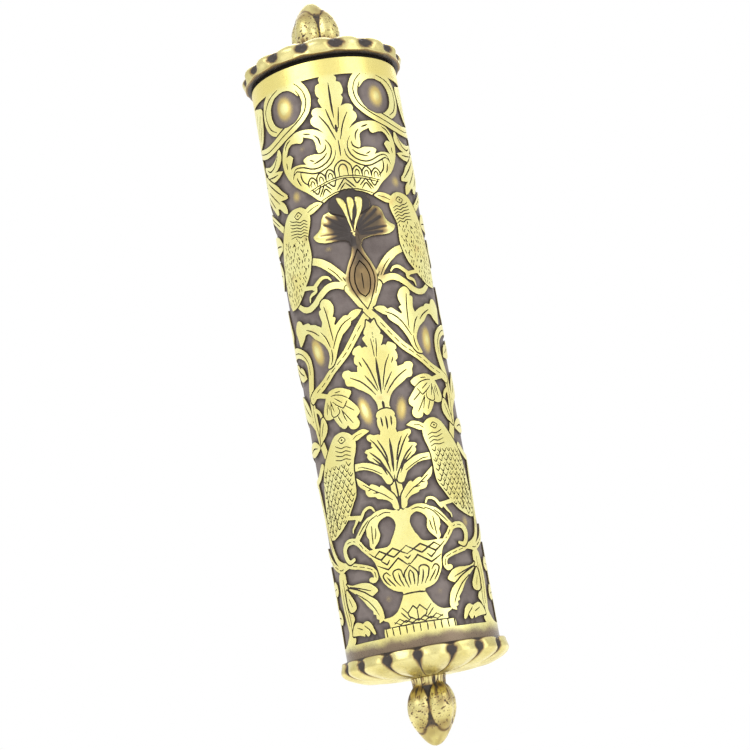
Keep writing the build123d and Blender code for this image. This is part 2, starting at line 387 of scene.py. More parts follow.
def draw_side_leaves():
    lay([(13.3, 95.3), (13.9, 94.3), (15, 93.3), (17, 92.9), (20, 93.6), (19.6, 92.4), (17.4, 91.2),
         (15.2, 91.3), (14.3, 91.5), (13.3, 92.3), (12.8, 93.4)])
    fill(from_face([(12.9, 90.6, 1), (14.2, 91), (16, 91.3), (20, 91.8), (19, 90.4), (17, 89.7),
                    (15.5, 89.6), (14, 89.9)]))
    lay([(20.5, 92), (16.8, 89.5), (15.3, 88.4), (14.2, 87), (13.1, 86, 1), (12.9, 85.2, 1), (14, 85.2),
         (15.2, 85.4, 1), (14.2, 84.6), (13.7, 83.6), (13.6, 82.5, 1), (14.6, 82.9), (15.8, 84),
         (16.6, 84.3, 1), (16.6, 83.3), (17.4, 83.3, 1), (18.5, 84.5), (20, 86), (22, 88), (22.3, 91)])
    cut_from_face((
        [(19.5, 90.5), (17.2, 88.6), (15.2, 86.9), (14, 85.9)],
        [(19.8, 88.8), (17.8, 87), (15.6, 84.9)],
        [(14, 93.9), (15.4, 92.3), (17.4, 92), (18.8, 92.8)],
        [(20.6, 88), (19, 86.3), (17.6, 84.8)], [(14.6, 90.5), (16.5, 90.6), (18.4, 91)]))
    stroke([(22, 98), (21.2, 94), (20.5, 91)], (1.4, 1.4), OUTLINE_GAP)
    stroke(from_face([(22.5, 84.5), (19, 82.5), (16.5, 80.6), (15.2, 79.6)]), (1.4, 1.2))
    cut(from_face([(22, 84.2), (19.4, 82.7), (17.2, 81.2)]), 0.2)
    lay([(22.6, 80.2), (19, 79.6), (17.2, 77.8), (17.1, 77, 1), (19, 76.5), (22.6, 76.8)])
    cut(from_face([(17.9, 77.5), (19.8, 78), (22, 78.3)]))


UPPER_BIRD = from_face(
    [(5.6, 82.1, 1), (6.6, 82.6), (7.8, 82.5), (8.9, 82.1), (9.2, 81.9, 1), (10, 82.5), (11.2, 82.75),
     (12.6, 82.6), (13.8, 82.1), (14.8, 81.2), (15.8, 79.8), (16.8, 78), (17.8, 75.5), (18.6, 72.5),
     (19, 69.5), (18.8, 66.8), (18, 64.9, 1), (16.6, 64.9), (15.2, 65.2), (14.4, 65.7), (13, 66.8),
     (12.2, 67.8), (11.2, 68.8), (10.4, 70), (9.9, 71.4), (9.5, 73), (9.5, 74.5), (9.65, 76.2), (9.3, 77.6),
     (8.8, 78.8), (8.5, 80), (8.6, 80.6, 1), (7.8, 80.7), (7, 81.1), (6.2, 81.6)])
LOWER_BIRD = from_face(
    [(3.95, 39, 1), (4.9, 39.6), (5.9, 39.6), (6.9, 39.2), (7.35, 38.95, 1), (8, 39.5), (9.2, 39.95),
     (10.3, 39.8), (11.4, 39.3), (12.4, 38.3), (13.3, 37.2), (14.3, 36), (15.3, 34.6), (16.3, 32.5),
     (17, 30), (17.4, 27), (17.4, 24), (16.8, 21.8, 1), (15.6, 21.7), (14, 22.2), (12.4, 23), (11, 24.2),
     (9.9, 25.6), (8.9, 27), (8.1, 28.2), (7.9, 29.5), (7.85, 31.5), (7.8, 33.3), (7.5, 34.6), (7, 36),
     (6.8, 37.2), (6.85, 37.8, 1), (6.2, 37.9), (5.3, 38.4), (4.5, 38.7)])


def draw_eye(x, y, width, height):
    """An almond round a dot, with a short line behind it."""
    half, rise = width / 2, height / 2
    cut([(x - half, y - 0.1), (x - half * 0.2, y + rise), (x + half, y + 0.1)], 0.2)
    cut([(x - half, y - 0.1), (x + half * 0.2, y - rise), (x + half, y + 0.1)], 0.2)
    cut([(x - 0.06, y + 0.05), (x + 0.1, y)], 0.34, ends=(0.3, 0.3))


def draw_upper_bird():
    fill(UPPER_BIRD, OUTLINE_GAP)
    shift = float(centre_line(80))
    draw_eye(11.2 - shift, 81.3, 1.9, 1.2)
    cut([(8.9 - shift, 81.2), (7.6 - shift, 81.75), (6.4 - shift, 82)], 0.14)
    for number in range(6):
        left = 9.3 + 0.07 * number - shift
        low = 80.1 - 0.58 * number
        cut([(left, low - 0.45), (left + 0.8, low + 0.05), (left + 1.6, low - 0.15),
             (left + 2.4, low + 0.3), (left + 3.3, low + 0.45), (left + 4.2, low + 0.95 - 0.1 * number)],
            0.2)
    for x, y in scatter(UPPER_BIRD, (0.9, 0.95), 0.34, 0.24):
        if y > 77.2:
            continue
        turn = rng.uniform(-0.75, 0.55)
        half = rng.uniform(0.22, 0.46)
        bend = rng.uniform(-0.22, 0.22)
        along = np.array([math.sin(turn), math.cos(turn)]) * half
        middle = np.array([x + bend * math.cos(turn), y - bend * math.sin(turn)])
        cut([(x - along[0], y - along[1]), tuple(middle), (x + along[0], y + along[1])],
            rng.uniform(0.18, 0.27))


def draw_lower_bird():
    fill(LOWER_BIRD, OUTLINE_GAP)
    shift = float(centre_line(37))
    draw_eye(9.6 - shift, 38.5, 1.7, 1.15)
    cut([(7.2 - shift, 38.2), (6, 38.75), (4.9, 38.9)], 0.14)
    for number in range(4):
        left = 7.9 + 0.1 * number - shift
        low = 37.2 - 0.7 * number
        cut([(left, low - 0.45), (left + 1, low), (left + 2, low - 0.1),
             (left + 3.4, low + 0.55 - 0.1 * number)], 0.19)
    for x, y in scatter(LOWER_BIRD, (1.2, 0.88), 0.38, 0.1):
        if y > 34.6:
            continue
        lean = 0.35 * (x - 11) / 5
        cut([(x - 0.46, y + 0.26 + lean), (x - 0.22, y - 0.12), (x + 0.02, y - 0.34), (x + 0.28, y - 0.1),
             (x + 0.48, y + 0.28 - lean)], 0.21)
        if rng.uniform() < 0.3:
            cut([(x, y + 0.36), (x + 0.04, y + 0.06)], 0.15)
    # Tail and wing edges
    cut([(16.2, 32), (15.4, 28), (15.6, 24.2), (15, 22.4)], 0.22)
    cut([(14.4, 27.5), (13.6, 25), (13.4, 23.2)], 0.2)


def draw_branches():
    stem = [(-2.8, 65.2), (-1.7, 63.2), (-0.9, 61.75), (0, 60.35), (0.85, 59.3), (1.7, 58.3), (3.4, 56),
            (5.4, 53.6), (7.4, 52), (8.9, 50.9), (10.7, 49.5), (12.4, 48.7), (13.9, 48.1), (15, 47.5)]
    upper = [(2.3, 65), (3.1, 66.8), (4.1, 68.3), (5.4, 69.8), (7.1, 71.2), (9.2, 72.1)]
    lower = [(2.2, 64.4), (3.5, 65.8), (5.0, 66.4), (6.6, 66.3), (8.3, 65.3), (9.6, 64.2), (11.1, 63.6),
             (12.6, 63.8), (13.9, 64.6), (15, 65.6)]
    side = [(21.5, 57.6), (18.5, 57.2), (16.2, 56.3), (14.6, 55), (14.1, 53), (14.4, 51), (15, 49),
            (15.4, 47), (15.4, 44.5), (15.1, 42), (14.7, 40), (14, 38), (13.4, 36.4)]
    stroke(side, (2.0, 1.7, 1.6, 1.5))
    cut([(20.6, 57.4), (18, 57), (15.8, 55.9), (14.5, 54.2), (14.3, 52)], 0.2)
    cut([(15.2, 47.6), (15.4, 45), (15.1, 42), (14.6, 39.6)], 0.2)
    stroke(upper, (1.5, 1.5, 1.5, 1.3))
    stroke(lower, (1.2, 1.25, 1.1, 0.9))
    cut([(3.6, 66.9), (4.6, 68.6), (5.8, 69.9)], 0.18)
    cut([(2.75, 66.2), (3.1, 66.9), (3.4, 67.5)], 0.2)
    stroke(stem, (1.4, 1.35, 1.35, 1.6), OUTLINE_GAP, LEFT_COPIES)
    stroke(stem, (1.4, 1.35, 1.35, 1.6), 0.18, RIGHT_COPIES)
    dashes(stem[5:], 1.2, 0.55, 0.18)


def draw_claws():
    stroke(from_face([(12.5, 67.6), (10, 67.1)]), (0.75, 0.7))
    stroke(from_face([(10.2, 67), (9, 67.9), (8, 68.4), (7, 68.2), (6.4, 67.5)]), (0.8, 0.7, 0.28))
    stroke(from_face([(9.8, 67), (9.9, 66.3), (10.8, 66), (11.4, 65.6), (11.6, 64.8)]), (0.6, 0.6, 0.25))
    stroke(from_face([(5, 24.7), (5.4, 25.4), (6.2, 25.5), (7, 25.1), (7.4, 24.5), (8, 23.8)]),
           (0.3, 0.55, 0.6))
    stroke(from_face([(7.9, 24.2), (9.3, 24.5), (10.9, 24.8)]), (0.7, 0.7))
    stroke(from_face([(8.6, 24), (9.3, 23), (9.8, 22.5), (9.9, 21.9)]), (0.6, 0.4, 0.25))


def draw_middle_leaf():
    lay([(8.9, 52.1), (8, 53.3), (7.4, 54.8), (6.6, 56.3), (5.9, 57.3, 1), (5.2, 57.8), (4.3, 58.6),
         (4.1, 59.3, 1), (3.3, 59.6), (2.5, 60.2), (1.9, 60.9, 1), (2.6, 61.2), (3.8, 61), (4.5, 60.4, 1),
         (5.2, 60.6), (6.2, 59.9), (7, 59.3, 1), (7.2, 59.6), (6.7, 60.6), (7.3, 60.9, 1), (6.9, 62),
         (6.9, 63), (7.6, 64.1), (8.6, 64.5), (9.3, 64.1), (9.6, 63.4), (9.4, 62.8, 1), (10, 62.6),
         (9.95, 61.6), (9.7, 60.5), (10, 59.6, 1), (11, 60.3), (12, 60.7), (12.6, 60.8, 1), (13.2, 61.3),
         (14.8, 61.4), (15.2, 62), (16, 62.5), (17, 62.4), (18, 61), (17.5, 59.5), (17, 57.8), (15.3, 58.6),
         (14.5, 59.4), (13.3, 59.3), (12, 58), (10.6, 57), (9.8, 56), (9.3, 54.8), (9.4, 53.5), (10, 52)])
    cut_from_face((
        [(8.8, 63.2), (8.4, 61), (8.1, 58), (8, 56.6)],
        [(4, 59.9), (5.5, 59.2), (6.8, 57.9), (7.7, 56.3), (8.2, 55.3)],
        [(10.4, 58.8), (9.6, 57.8), (9.1, 56.6), (8.8, 55.6)],
        [(14, 60.3), (12.2, 59.4), (10.9, 58.3)], [(8.6, 55.2), (8.7, 53.6), (9.2, 52.4)]), 0.24)


def draw_central_leaf():
    fill([(-1, 57.6), (0, 58.05), (0.8, 57.8), (1.4, 57.1), (1.55, 56.4), (1.25, 56.1, 1), (1.9, 55.7),
          (1.7, 55), (1.35, 54.2), (1.1, 53.8, 1), (1.7, 54.1), (2.2, 53.9, 1), (2.5, 54.5), (3.2, 54.4),
          (3.9, 53.9), (4, 53.2), (3.6, 52.9, 1), (3.95, 52.3), (3.9, 51.4), (3.4, 50.9, 1), (3.6, 50.6),
          (3.6, 49.8, 1), (4.8, 50.1), (5.2, 50.5), (6.2, 50.5), (6.7, 49.8), (6.3, 49, 1), (6.3, 48.3),
          (5.9, 47.7), (5, 47.5), (4.2, 46.9), (2.8, 46), (1.9, 45.2), (1.25, 44), (1, 42.8), (1.15, 42.2),
          (0, 42), (-1, 43)], OUTLINE_GAP)
    dashes([(0, 56.6), (0, 54.2)], 0.45, 0.25, 0.16)
    cut([(0.5, 55.3), (0.35, 53.6), (0.2, 52)], 0.2)
    cut([(0, 51.8), (0, 48.5), (0, 45.2)], 0.5)
    cut_all([
        [(2.45, 52.2), (1.5, 50.2), (0.7, 47.4), (0.4, 46)], [(2.4, 48.9), (1.2, 47), (0.6, 45.8)],
        [(5.2, 49.1), (3.4, 48), (2, 46.6), (1, 45.2)], [(3.1, 51.6), (2.7, 50.6)]], 0.26)
    cut([(0, 43.9), (0, 42.4)], 0.5)


def draw_bell():
    lay([(11.3, 47.4), (10.2, 47.95), (8.8, 48), (7.4, 47.55), (6.2, 46.8), (6.5, 46.1), (7, 45.6, 1),
         (6.1, 44.6), (5.3, 43.6), (5.2, 42.7), (5.9, 42.1, 1), (5.5, 41.2), (5.7, 40.4), (6.5, 40),
         (7.4, 40.2), (7.8, 41, 1), (8.5, 40.4), (9.3, 40.8), (10.1, 41.8), (10.7, 42.9, 1), (11.5, 42.7),
         (12.6, 43), (13, 43.9), (12.7, 45.1), (11.9, 46.6)])
    stroke(from_face([(15, 48), (13, 47.6), (11.4, 47.1)]), (0.95, 0.8))
    stroke(from_face([(15.6, 45.6), (14.3, 44.8), (13.6, 43.4)]), (0.8, 0.6))
    lay([(13.3, 43.6), (12.6, 42.2), (12.7, 41), (13.6, 39.9), (14.6, 39.3), (15.3, 38.8, 1), (15.1, 40.6),
         (14.6, 42), (14, 43.3)])
    cut_from_face((
        [(7, 45.7), (8.2, 46.5), (9.6, 46.9), (10.6, 46.9)],
        [(7.3, 45.3), (8, 44.4), (8.4, 44.2), (9.5, 45), (10.4, 45.8)],
        [(9.4, 44.6), (9.1, 43.7), (10, 43), (10.9, 43.2), (11, 44.3), (10.8, 45.8)],
        [(8.4, 47.3), (9.6, 47.3)], [(8.4, 45.2), (9.8, 46.3)], [(10.3, 44), (10.9, 46.2)],
        [(12.1, 43.8), (11.7, 46)], [(11.4, 44.5), (11.4, 45.6)], [(8.7, 44), (6.8, 41.2)],
        [(8.6, 43.6), (8, 41.7)], [(9.7, 43), (9, 41.5)], [(7.9, 44.6), (6.2, 43.3)],
        [(13.5, 42.6), (14.6, 40.2)]), 0.21)


def draw_stack_leaf():
    fill([(-1, 42), (0.85, 42.2), (1.5, 41.8), (1.7, 41.2), (1.5, 40.9, 1), (1.75, 40.4), (1.7, 39.6),
          (1.5, 38.8), (1.35, 38.5, 1), (1.5, 38), (1.2, 37.4, 1), (0, 37), (-1, 38)], OUTLINE_GAP)
    fill(from_face([(0.4, 38), (1.6, 37.5, 1), (2.3, 38), (3.1, 38, 1), (3.9, 38.3), (4.5, 38.2),
                    (4.6, 37.7), (4.4, 37.3), (3.8, 36.8, 1), (4, 36.2), (3.6, 35.8, 1), (4.2, 35.7),
                    (5, 35.6), (5.3, 35.2), (4.8, 34.8, 1), (5, 34.3), (4.5, 33.6), (3.9, 33.3, 1),
                    (3.6, 32.8), (2.6, 32), (1.9, 31.3), (1.4, 30), (1.4, 27), (1.3, 24), (0, 24),
                    (0, 31)]), 0.0)
    stroke(from_face([(1.5, 29.5), (2.3, 31), (3.8, 32.1), (5.5, 32.8), (7.9, 33)]), (1.3, 1.25), OUTLINE_GAP)
    cut([(0, 41), (0, 38.6)], 0.34)
    cut([(0, 37), (0, 31)], 0.5)
    cut_all([
        [(3.4, 37.4), (2.2, 35.6), (1, 33), (0.5, 31)], [(2.2, 37.1), (1.4, 35.4), (0.7, 33)],
        [(3.9, 35.1), (2.4, 33.6), (1.1, 31.4)], [(3.5, 34), (2.2, 32.6), (1.2, 30.6)],
        [(0.9, 40.9), (0.8, 39.2)], [(0, 30.4), (0, 24.6)]], 0.32)
    cut(from_face([(2.6, 30.9), (4, 31.8), (5.8, 32.6), (7, 32.8)]), 0.18)
    lay([(0.9, 26.6), (1.9, 27.9), (2.7, 28.8), (3.2, 28.9, 1), (3.3, 28.6, 1), (4, 29.1), (4.9, 29.4),
         (5.2, 29.1, 1), (6, 29.8), (7, 30.7), (7.55, 31.1, 1), (7.4, 30), (6.9, 29.2), (6.1, 28.6, 1),
         (6.1, 28), (5.5, 27.3), (4.3, 27.1, 1), (4, 26.7), (2.6, 26.3), (1.8, 25.6), (1.5, 24.6),
         (0.6, 24.4)])
    cut_from_face((
        [(1.5, 26.1), (3, 27.4), (4.6, 28.3), (6.4, 29.6)], [(3.6, 27.7), (4.6, 27.8)],
        [(4.9, 28.5), (5.6, 28.4)]), 0.2)


def draw_handle():
    """The vase's handle and the leaf that hangs on it, round an open window."""
    stroke(from_face([(4.5, 23.7), (6.5, 23.2), (8, 21.8), (9.3, 20.3)]), (1.1, 1.0))
    fill(from_face([(0.8, 24), (1.6, 24.2), (2.9, 24.7), (4, 24.7), (5.2, 24.3), (6.4, 23.3), (7, 22.2),
                    (7.1, 20.6), (6.7, 19.9), (6.8, 18.7), (6.2, 18, 1), (3, 18, 1), (1, 20)]))
    hole(from_face([(2.9, 23.4), (4.2, 22.8), (4.75, 21.9), (4.5, 20.5), (4.9, 19.4), (5.9, 18.4, 1),
                    (6, 18.05, 1), (3.5, 18.1), (2.6, 19.1), (1.9, 20.4), (1.55, 21.6), (1.9, 22.8)]))
    cut_from_face((
        [(5.9, 22.2), (6, 20.6), (6.1, 19)], [(5.2, 21.6), (5.3, 20.6), (5.6, 19.8)],
        [(2.2, 23.9), (3.4, 24.1), (4.6, 23.6)],
        [(4.6, 23.9), (5.9, 23.3), (6.9, 22.3), (7.5, 21.2)],
        [(6.4, 23.3), (7.6, 22.3), (8.7, 21.1)]), 0.2)


VASE = from_face(
    [(0.85, 23.5), (0.85, 21.8), (1.4, 20.2), (2.3, 18.9), (3.3, 18.15, 1), (5.9, 18.1, 1), (7.8, 18, 1),
     (6.6, 16.2), (6.1, 14.8), (5.85, 13.3), (5.2, 11.9), (4.2, 10.7), (3, 10.05), (2.3, 9.9), (2.1, 9.6),
     (2.25, 9), (2.7, 8.1), (3.1, 7.3), (4, 6.4), (5, 6), (6.2, 5.9), (6.4, 5.6), (5.6, 5.2), (5.4, 4.2, 1),
     (6.6, 4.1, 1), (6.75, 3.4), (6.7, 2.4, 1), (0, 2.3), (0, 12), (0, 23.5)])


def draw_vase():
    fill(VASE)
    # Lozenges on the body, and the triangles in the corners between them
    cut_from_face((
        [(0.15, 17.7, 1), (1.4, 16.9, 1), (2.7, 17.65, 1), (4, 16.9, 1), (5.2, 17.6, 1), (6.3, 16.8)],
        [(0.15, 16.2, 1), (1.4, 16.9, 1), (2.7, 16.1, 1), (4, 16.9, 1), (5.2, 16.1, 1), (6.3, 16.8, 1),
         (7.3, 17.6)],
        [(0.15, 14.6), (0.5, 14.4, 1), (1.95, 15.8, 1), (4.1, 14.2, 1), (6.1, 15.3)],
        [(3.6, 15.8), (4.2, 15.1, 1), (5.2, 15.9)], [(0.15, 15.4), (0.8, 15.9)]), 0.3)
    # Gadroons round the bowl's foot
    cut_from_face((
        [(0.15, 14.3), (1.3, 13), (1.35, 12), (0.9, 10.4)],
        [(0.15, 13.4), (0.6, 12.6), (0.5, 10.8)],
        [(1.6, 12.3), (1.8, 13.6), (2.6, 13.9), (3.4, 13.4), (3.1, 12), (2.3, 10.8)],
        [(2.4, 13.2), (2.2, 12), (1.7, 10.7)],
        [(3.9, 13), (4.6, 13.75), (5.3, 13.3), (4.9, 12.2), (4.1, 11.2)],
        [(4.6, 12.9), (3.9, 11.9), (3.2, 11)]), 0.27)
    cut([(-0.2, 9.45), (1.0, 9.4), (2.1, 9.3)], 0.3)
    # Scales on the foot, and the slots of the plinth
    cut_all([
        [(-2.6, 7.2, 1), (-1.7, 6.1, 1), (-0.6, 7.2, 1), (0, 6.6, 1), (0.6, 7.2, 1), (1.7, 6.1, 1),
         (2.6, 7.1)],
        [(-1.7, 6.1), (-1.5, 5.5), (-0.9, 5.1)], [(0, 6.6), (0.05, 5.9), (0, 4.9)],
        [(1.7, 6.1), (1.5, 5.5), (0.9, 5.1)], [(-2.9, 6.4), (-2.1, 5.5), (-1.7, 5.1)],
        [(2.9, 6.4), (2.1, 5.5), (1.7, 5.1)]], 0.24, RIGHT_COPIES)
    for first, second in ((5.3, 4.55), (4.35, 4.9)):
        zigzag = [(1.1 * step, (first if step % 2 else second) + 0.02 * abs(step), 1) for step in
                  range(-4, 5)]
        cut(zigzag, 0.22, RIGHT_COPIES)
    cut([(-6.3, 4.15), (0, 4.2), (6.3, 4.1)], 0.24, RIGHT_COPIES)
    for slot in range(-5, 6):
        cut([(slot * 1.25 + 0.1, 4.1), (slot * 1.25 + 0.1, 2.5)], 0.24, RIGHT_COPIES)
    cut(from_face([(0.85, 24.2), (0.8, 22.4), (1.2, 20.6), (2.4, 18.8)]), 0.2)


def draw_tendrils():
    loop = from_face(
        [(7, 17.3), (8.2, 18.6), (9.3, 19.9), (10.6, 20.4), (12, 20.1), (12.8, 19), (12.5, 17.6),
         (11.7, 16.8), (10.6, 17.1)])
    low = from_face(
        [(12.6, 16.7), (11.5, 16.1), (9.5, 15.6), (7.8, 15.1), (6.9, 14.5), (6.6, 13.5), (7, 12.8),
         (7.6, 12.9)])
    out = from_face([(11.9, 16.5), (13.8, 16.2), (15, 16.1), (18, 17.5), (20.5, 19.5), (22.5, 20.4)])
    up = from_face([(13, 16.4), (15.5, 17.5), (17, 19.5), (17.8, 22), (18.6, 26), (19.6, 30), (20.6, 33)])
    stroke(low, (1.1, 0.95, 0.9, 0.8))
    stroke(from_face([(7.4, 12.95), (7.6, 12.95)]), (0.95, 0.95))
    stroke(out, (1.1, 1.1))
    stroke(up, (1.0, 1.1, 1.2))
    stroke(loop, (0.9, 1.0, 1.1, 1.0, 0.6), OUTLINE_GAP)
    dashes(loop[:6], 1.1, 0.5, 0.16)
    dashes(low[1:], 1.1, 0.5, 0.16)
    dashes(up[2:], 1.6, 0.6, 0.17)
    dashes(out[1:], 1.4, 0.6, 0.17)


def draw_low_leaves():
    trunk = [(14, 15.4), (13.7, 13.5), (14, 10.5), (13.6, 8.4), (13.2, 7.5), (13.1, 6.9), (13.9, 6),
             (13.6, 5), (14.4, 2.5), (19, 2.5), (17.5, 3), (15.8, 4.6), (15.9, 6), (16.5, 9.5), (16.6, 12),
             (16, 15.4)]
    fill(from_face(trunk))
    lay([(13.8, 13.4), (12.5, 12.9), (11, 12.8), (9.5, 12.8), (8, 12.4), (7, 11.6), (6.6, 11), (7, 10.6),
         (8.1, 10.1, 1), (9.2, 10.9), (10.6, 11.4), (12.4, 12.1)])
    lay([(7.2, 9.3), (6.5, 8), (6.2, 6.6), (6.4, 5.8), (7.4, 5.3), (7.3, 5.9, 1), (7.8, 6.1), (7.8, 6.8, 1),
         (8.3, 7), (8.3, 7.6, 1), (9.2, 8.5), (10.2, 9.9), (11.5, 11.1), (13.4, 12.4), (12.6, 12.3),
         (10, 11.3), (8.4, 10.2)])
    lay([(14.2, 12.4), (12.9, 11), (12.1, 9.6), (12.2, 8.7), (13.2, 8.25), (14.2, 8.6), (14.6, 10.5)])
    lay([(13.8, 5.6), (12.9, 6.2), (12, 6.1), (11.1, 5.7, 1), (10.2, 6.1), (9.3, 5.6), (8.9, 4.8),
         (8.5, 3.7), (8.8, 3.5), (9.2, 3.8), (9.7, 4.4, 1), (9.9, 3.6), (10.4, 3.4), (11, 4),
         (11.1, 3.5, 1), (12, 3.8), (13.5, 4), (14.5, 4.2)])
    cut_from_face((
        [(13, 12.75), (10.4, 12), (8.1, 11.2)], [(11.6, 11.3), (9.5, 9.9), (8, 8.2), (7.2, 6.7)],
        [(13.9, 10.9), (13.2, 9.3)], [(12.8, 5.3), (11.4, 4.7)],
        [(10.9, 5.4), (10, 4.6), (9.6, 4.2)], [(14.8, 14.4), (14.9, 10), (14.4, 7), (14.6, 4)],
        [(15.7, 13), (15.7, 9.5), (15, 6)]), 0.22)
    # Round the side: a second plant stands between the repeats
    stroke([(22, 2.2), (21.4, 6), (20.6, 10), (20.9, 14), (22, 17)], (1.6, 1.4, 1.2))
    fill([(21.2, 9), (19.4, 9.6), (17.9, 8.6), (17.7, 7.2), (19, 6.6), (20.4, 7.2)], OUTLINE_GAP)
    fill([(20.9, 13.6), (19.2, 14.6), (17.8, 13.9), (17.6, 12.6), (19, 11.9), (20.4, 12.4)], OUTLINE_GAP)
    cut_all([
        [(20.8, 8.2), (18.6, 7.8)], [(20.6, 13.1), (18.5, 13.3)], [(21.9, 3), (21.2, 7), (20.9, 11)]], 0.22)


def draw_side_bands():
    """Stems and leaves round the side, between the lower and the upper birds."""
    stroke(from_face([(16, 35), (18, 33.5), (21, 33), (22.6, 33)]), (1.2, 1.2))
    fill([(15.2, 38.4), (16.2, 39.6), (18, 40.2), (20, 39.9), (21.5, 38.8), (19.8, 37.8), (17.6, 37.5)],
         OUTLINE_GAP)
    cut([(16.4, 38.6), (18.4, 39), (20.4, 38.8)])
    fill([(16.2, 44), (17.2, 46.8), (19, 48.6), (21, 49.4), (21.2, 47), (19.8, 44.8), (18, 43.8)],
         OUTLINE_GAP)
    cut([(17, 44.8), (18.8, 46.6), (20.3, 48.2)])
    stroke([(15.4, 42), (17, 43.6), (18.4, 44.6)], (0.9, 0.8))
    fill([(15.8, 51.6, 1), (16.6, 53.4), (17.9, 54.3, 1), (18.2, 53.9, 1), (19.4, 55), (21.6, 55.8, 1),
          (21, 54.2), (19.9, 53.2, 1), (19.7, 52.5), (18, 51.5)], OUTLINE_GAP)
    cut([(16.8, 52.4), (18.6, 53.4), (20.4, 54.8)])
    fill([(19.4, 60.6), (20.2, 63), (21.2, 65), (22.5, 66), (22.5, 59.6), (20.9, 59.4)], OUTLINE_GAP)
    cut([(20.4, 60.8), (21.2, 63), (22, 64.8)])
    stroke([(21.5, 57.4), (20.9, 59), (21, 61)], (1.0, 0.9))
    fill([(18.8, 72.4), (20, 74.6), (22.5, 75.4), (22.5, 70.6), (20.4, 70.6)], OUTLINE_GAP)
    cut([(19.8, 72.4), (21.8, 73)])


# ---------------------------------------------------------------- the flower in the middle, pressed in relief

FLOWER_BASE = (-0.1, 74.4)
PETAL = from_face(
    [(0.2, 73.4), (1.6, 73.0), (2.1, 73.9), (3.3, 74.35), (5, 74.5), (6.5, 74.6), (7.6, 74.9), (8.5, 75.4),
     (8.95, 76.2), (8.6, 76.5), (7.8, 76.9), (7.2, 77.5), (6.9, 78.2), (6.7, 79), (6.2, 79.7), (5.6, 80),
     (5, 80.1), (4.6, 79.6), (3.2, 79), (1.6, 78.2), (0.4, 76.6)])
BACK_PETAL = [(-0.2, 75.5), (1.2, 76.6), (2.4, 78), (3.3, 79.2), (3.75, 80.4), (3.7, 81.6), (3.1, 82.6),
              (1.8, 83.0), (-0.2, 83.1)]
STAMENS = [from_face(line) for line in (
    [(-1.5, 82.45), (-0.9, 82.4), (-0.25, 81.8), (0.08, 80.9), (0.2, 79), (0.5, 77), (0.85, 74.9),
     (0.68, 74.35, 1), (0.5, 75), (0.2, 76.8), (-0.25, 78.6), (-0.9, 80.6), (-1.45, 81.9)],
    [(0.55, 82.25), (1.1, 82.2), (1.5, 81.7), (1.5, 80.6), (1.15, 79.8), (0.72, 77.4, 1), (0.5, 78.8),
     (0.38, 80.6), (0.35, 81.8)],
    [(2.0, 82.1), (2.6, 82.1), (3.15, 81.6), (3.05, 80.4), (2.45, 79), (1.75, 77.6), (1.1, 76),
     (0.72, 74.4, 1), (0.8, 75.9), (1.15, 77.4), (1.75, 79), (1.92, 80.4), (1.85, 81.6)])]
BULB = [(0.5, 75), (0.75, 73.6), (0.95, 72.4), (1.35, 71.2), (2.05, 69.9), (2.55, 68.7), (2.95, 67.5),
        (3.0, 66.4), (2.6, 64.6), (1.8, 62.9), (0.9, 61.6), (0, 60.7), (-0.8, 61.6), (-0.8, 75)]
BULB_LINES = ([(0, 72.2), (0.9, 70.5), (1.8, 68.9), (2.25, 67), (2.05, 65.1), (1.15, 62.8), (0, 60.8)],
              [(0, 70), (0.9, 68.7), (1.35, 67), (1.3, 65.4), (0.85, 63.9), (0, 63.1)])
FOLDS = ([(1.0, 75.4), (3, 75.7), (6.1, 76.1)], [(1.1, 75.9), (2.9, 76.7), (5.2, 77.9)],
         [(1.1, 76.4), (2.7, 77.7), (4.6, 79.3)], [(1.2, 75), (3.2, 74.95), (5.2, 75.1)],
         [(1, 76.8), (2.1, 78.3), (3.1, 79.6)])


def draw_flower():
    fill(BACK_PETAL, OUTLINE_GAP)
    fill(PETAL, OUTLINE_GAP, RIGHT_COPIES)
    fill([(point[0] * 0.93, *point[1:]) for point in PETAL], OUTLINE_GAP, LEFT_COPIES)
    for outline in STAMENS:
        fill(outline, 0.08, RIGHT_COPIES)


def draw_bulb():
    """The swelling under the flower: it grows into the flower above and into the stems at its sides."""
    fill(BULB)
    for line in BULB_LINES:
        cut(line, 0.22, ends=(0.22, 0.22))
    cut([(2.9, 67.2), (2.75, 65.6), (2.0, 63.6)], 0.16, RIGHT_COPIES)
    cut([(0, 67.6), (0, 64.6)], 0.2)


def draw_ornament():
    """Everything on the sheet, later motifs over earlier ones."""
    draw_palmette()
    draw_side_leaves()
    draw_crown()
    draw_top_loops()
    draw_side_bands()
    draw_branches()
    draw_middle_leaf()
    draw_central_leaf()
    draw_bell()
    draw_stack_leaf()
    draw_tendrils()
    draw_low_leaves()
    draw_vase()
    draw_handle()
    draw_upper_bird()
    draw_lower_bird()
    draw_claws()
    draw_flower()
    draw_bulb()


TOP_BAND, BOTTOM_BAND = 105.9, 2.55
NAIL_HOLE_MARGIN = 0.5
draw_ornament()
slow_z = sheet_z + 0.07 * value_noise(sheet_s, sheet_z, 4.0, 5)
field = np.maximum(field, np.maximum(slow_z - TOP_BAND, BOTTOM_BAND - slow_z))
field = np.minimum(field, from_nail_hole(sheet_s, sheet_z) - NAIL_HOLE_RADIUS - NAIL_HOLE_MARGIN)
field = np.minimum(field, HALF_TURN - SEAM_WIDTH / 2 - np.abs(sheet_s))
field = np.minimum(field, np.minimum(sheet_z, TUBE_LENGTH - sheet_z))

# ---------------------------------------------------------------- surfaces: heights and colours of the sheet

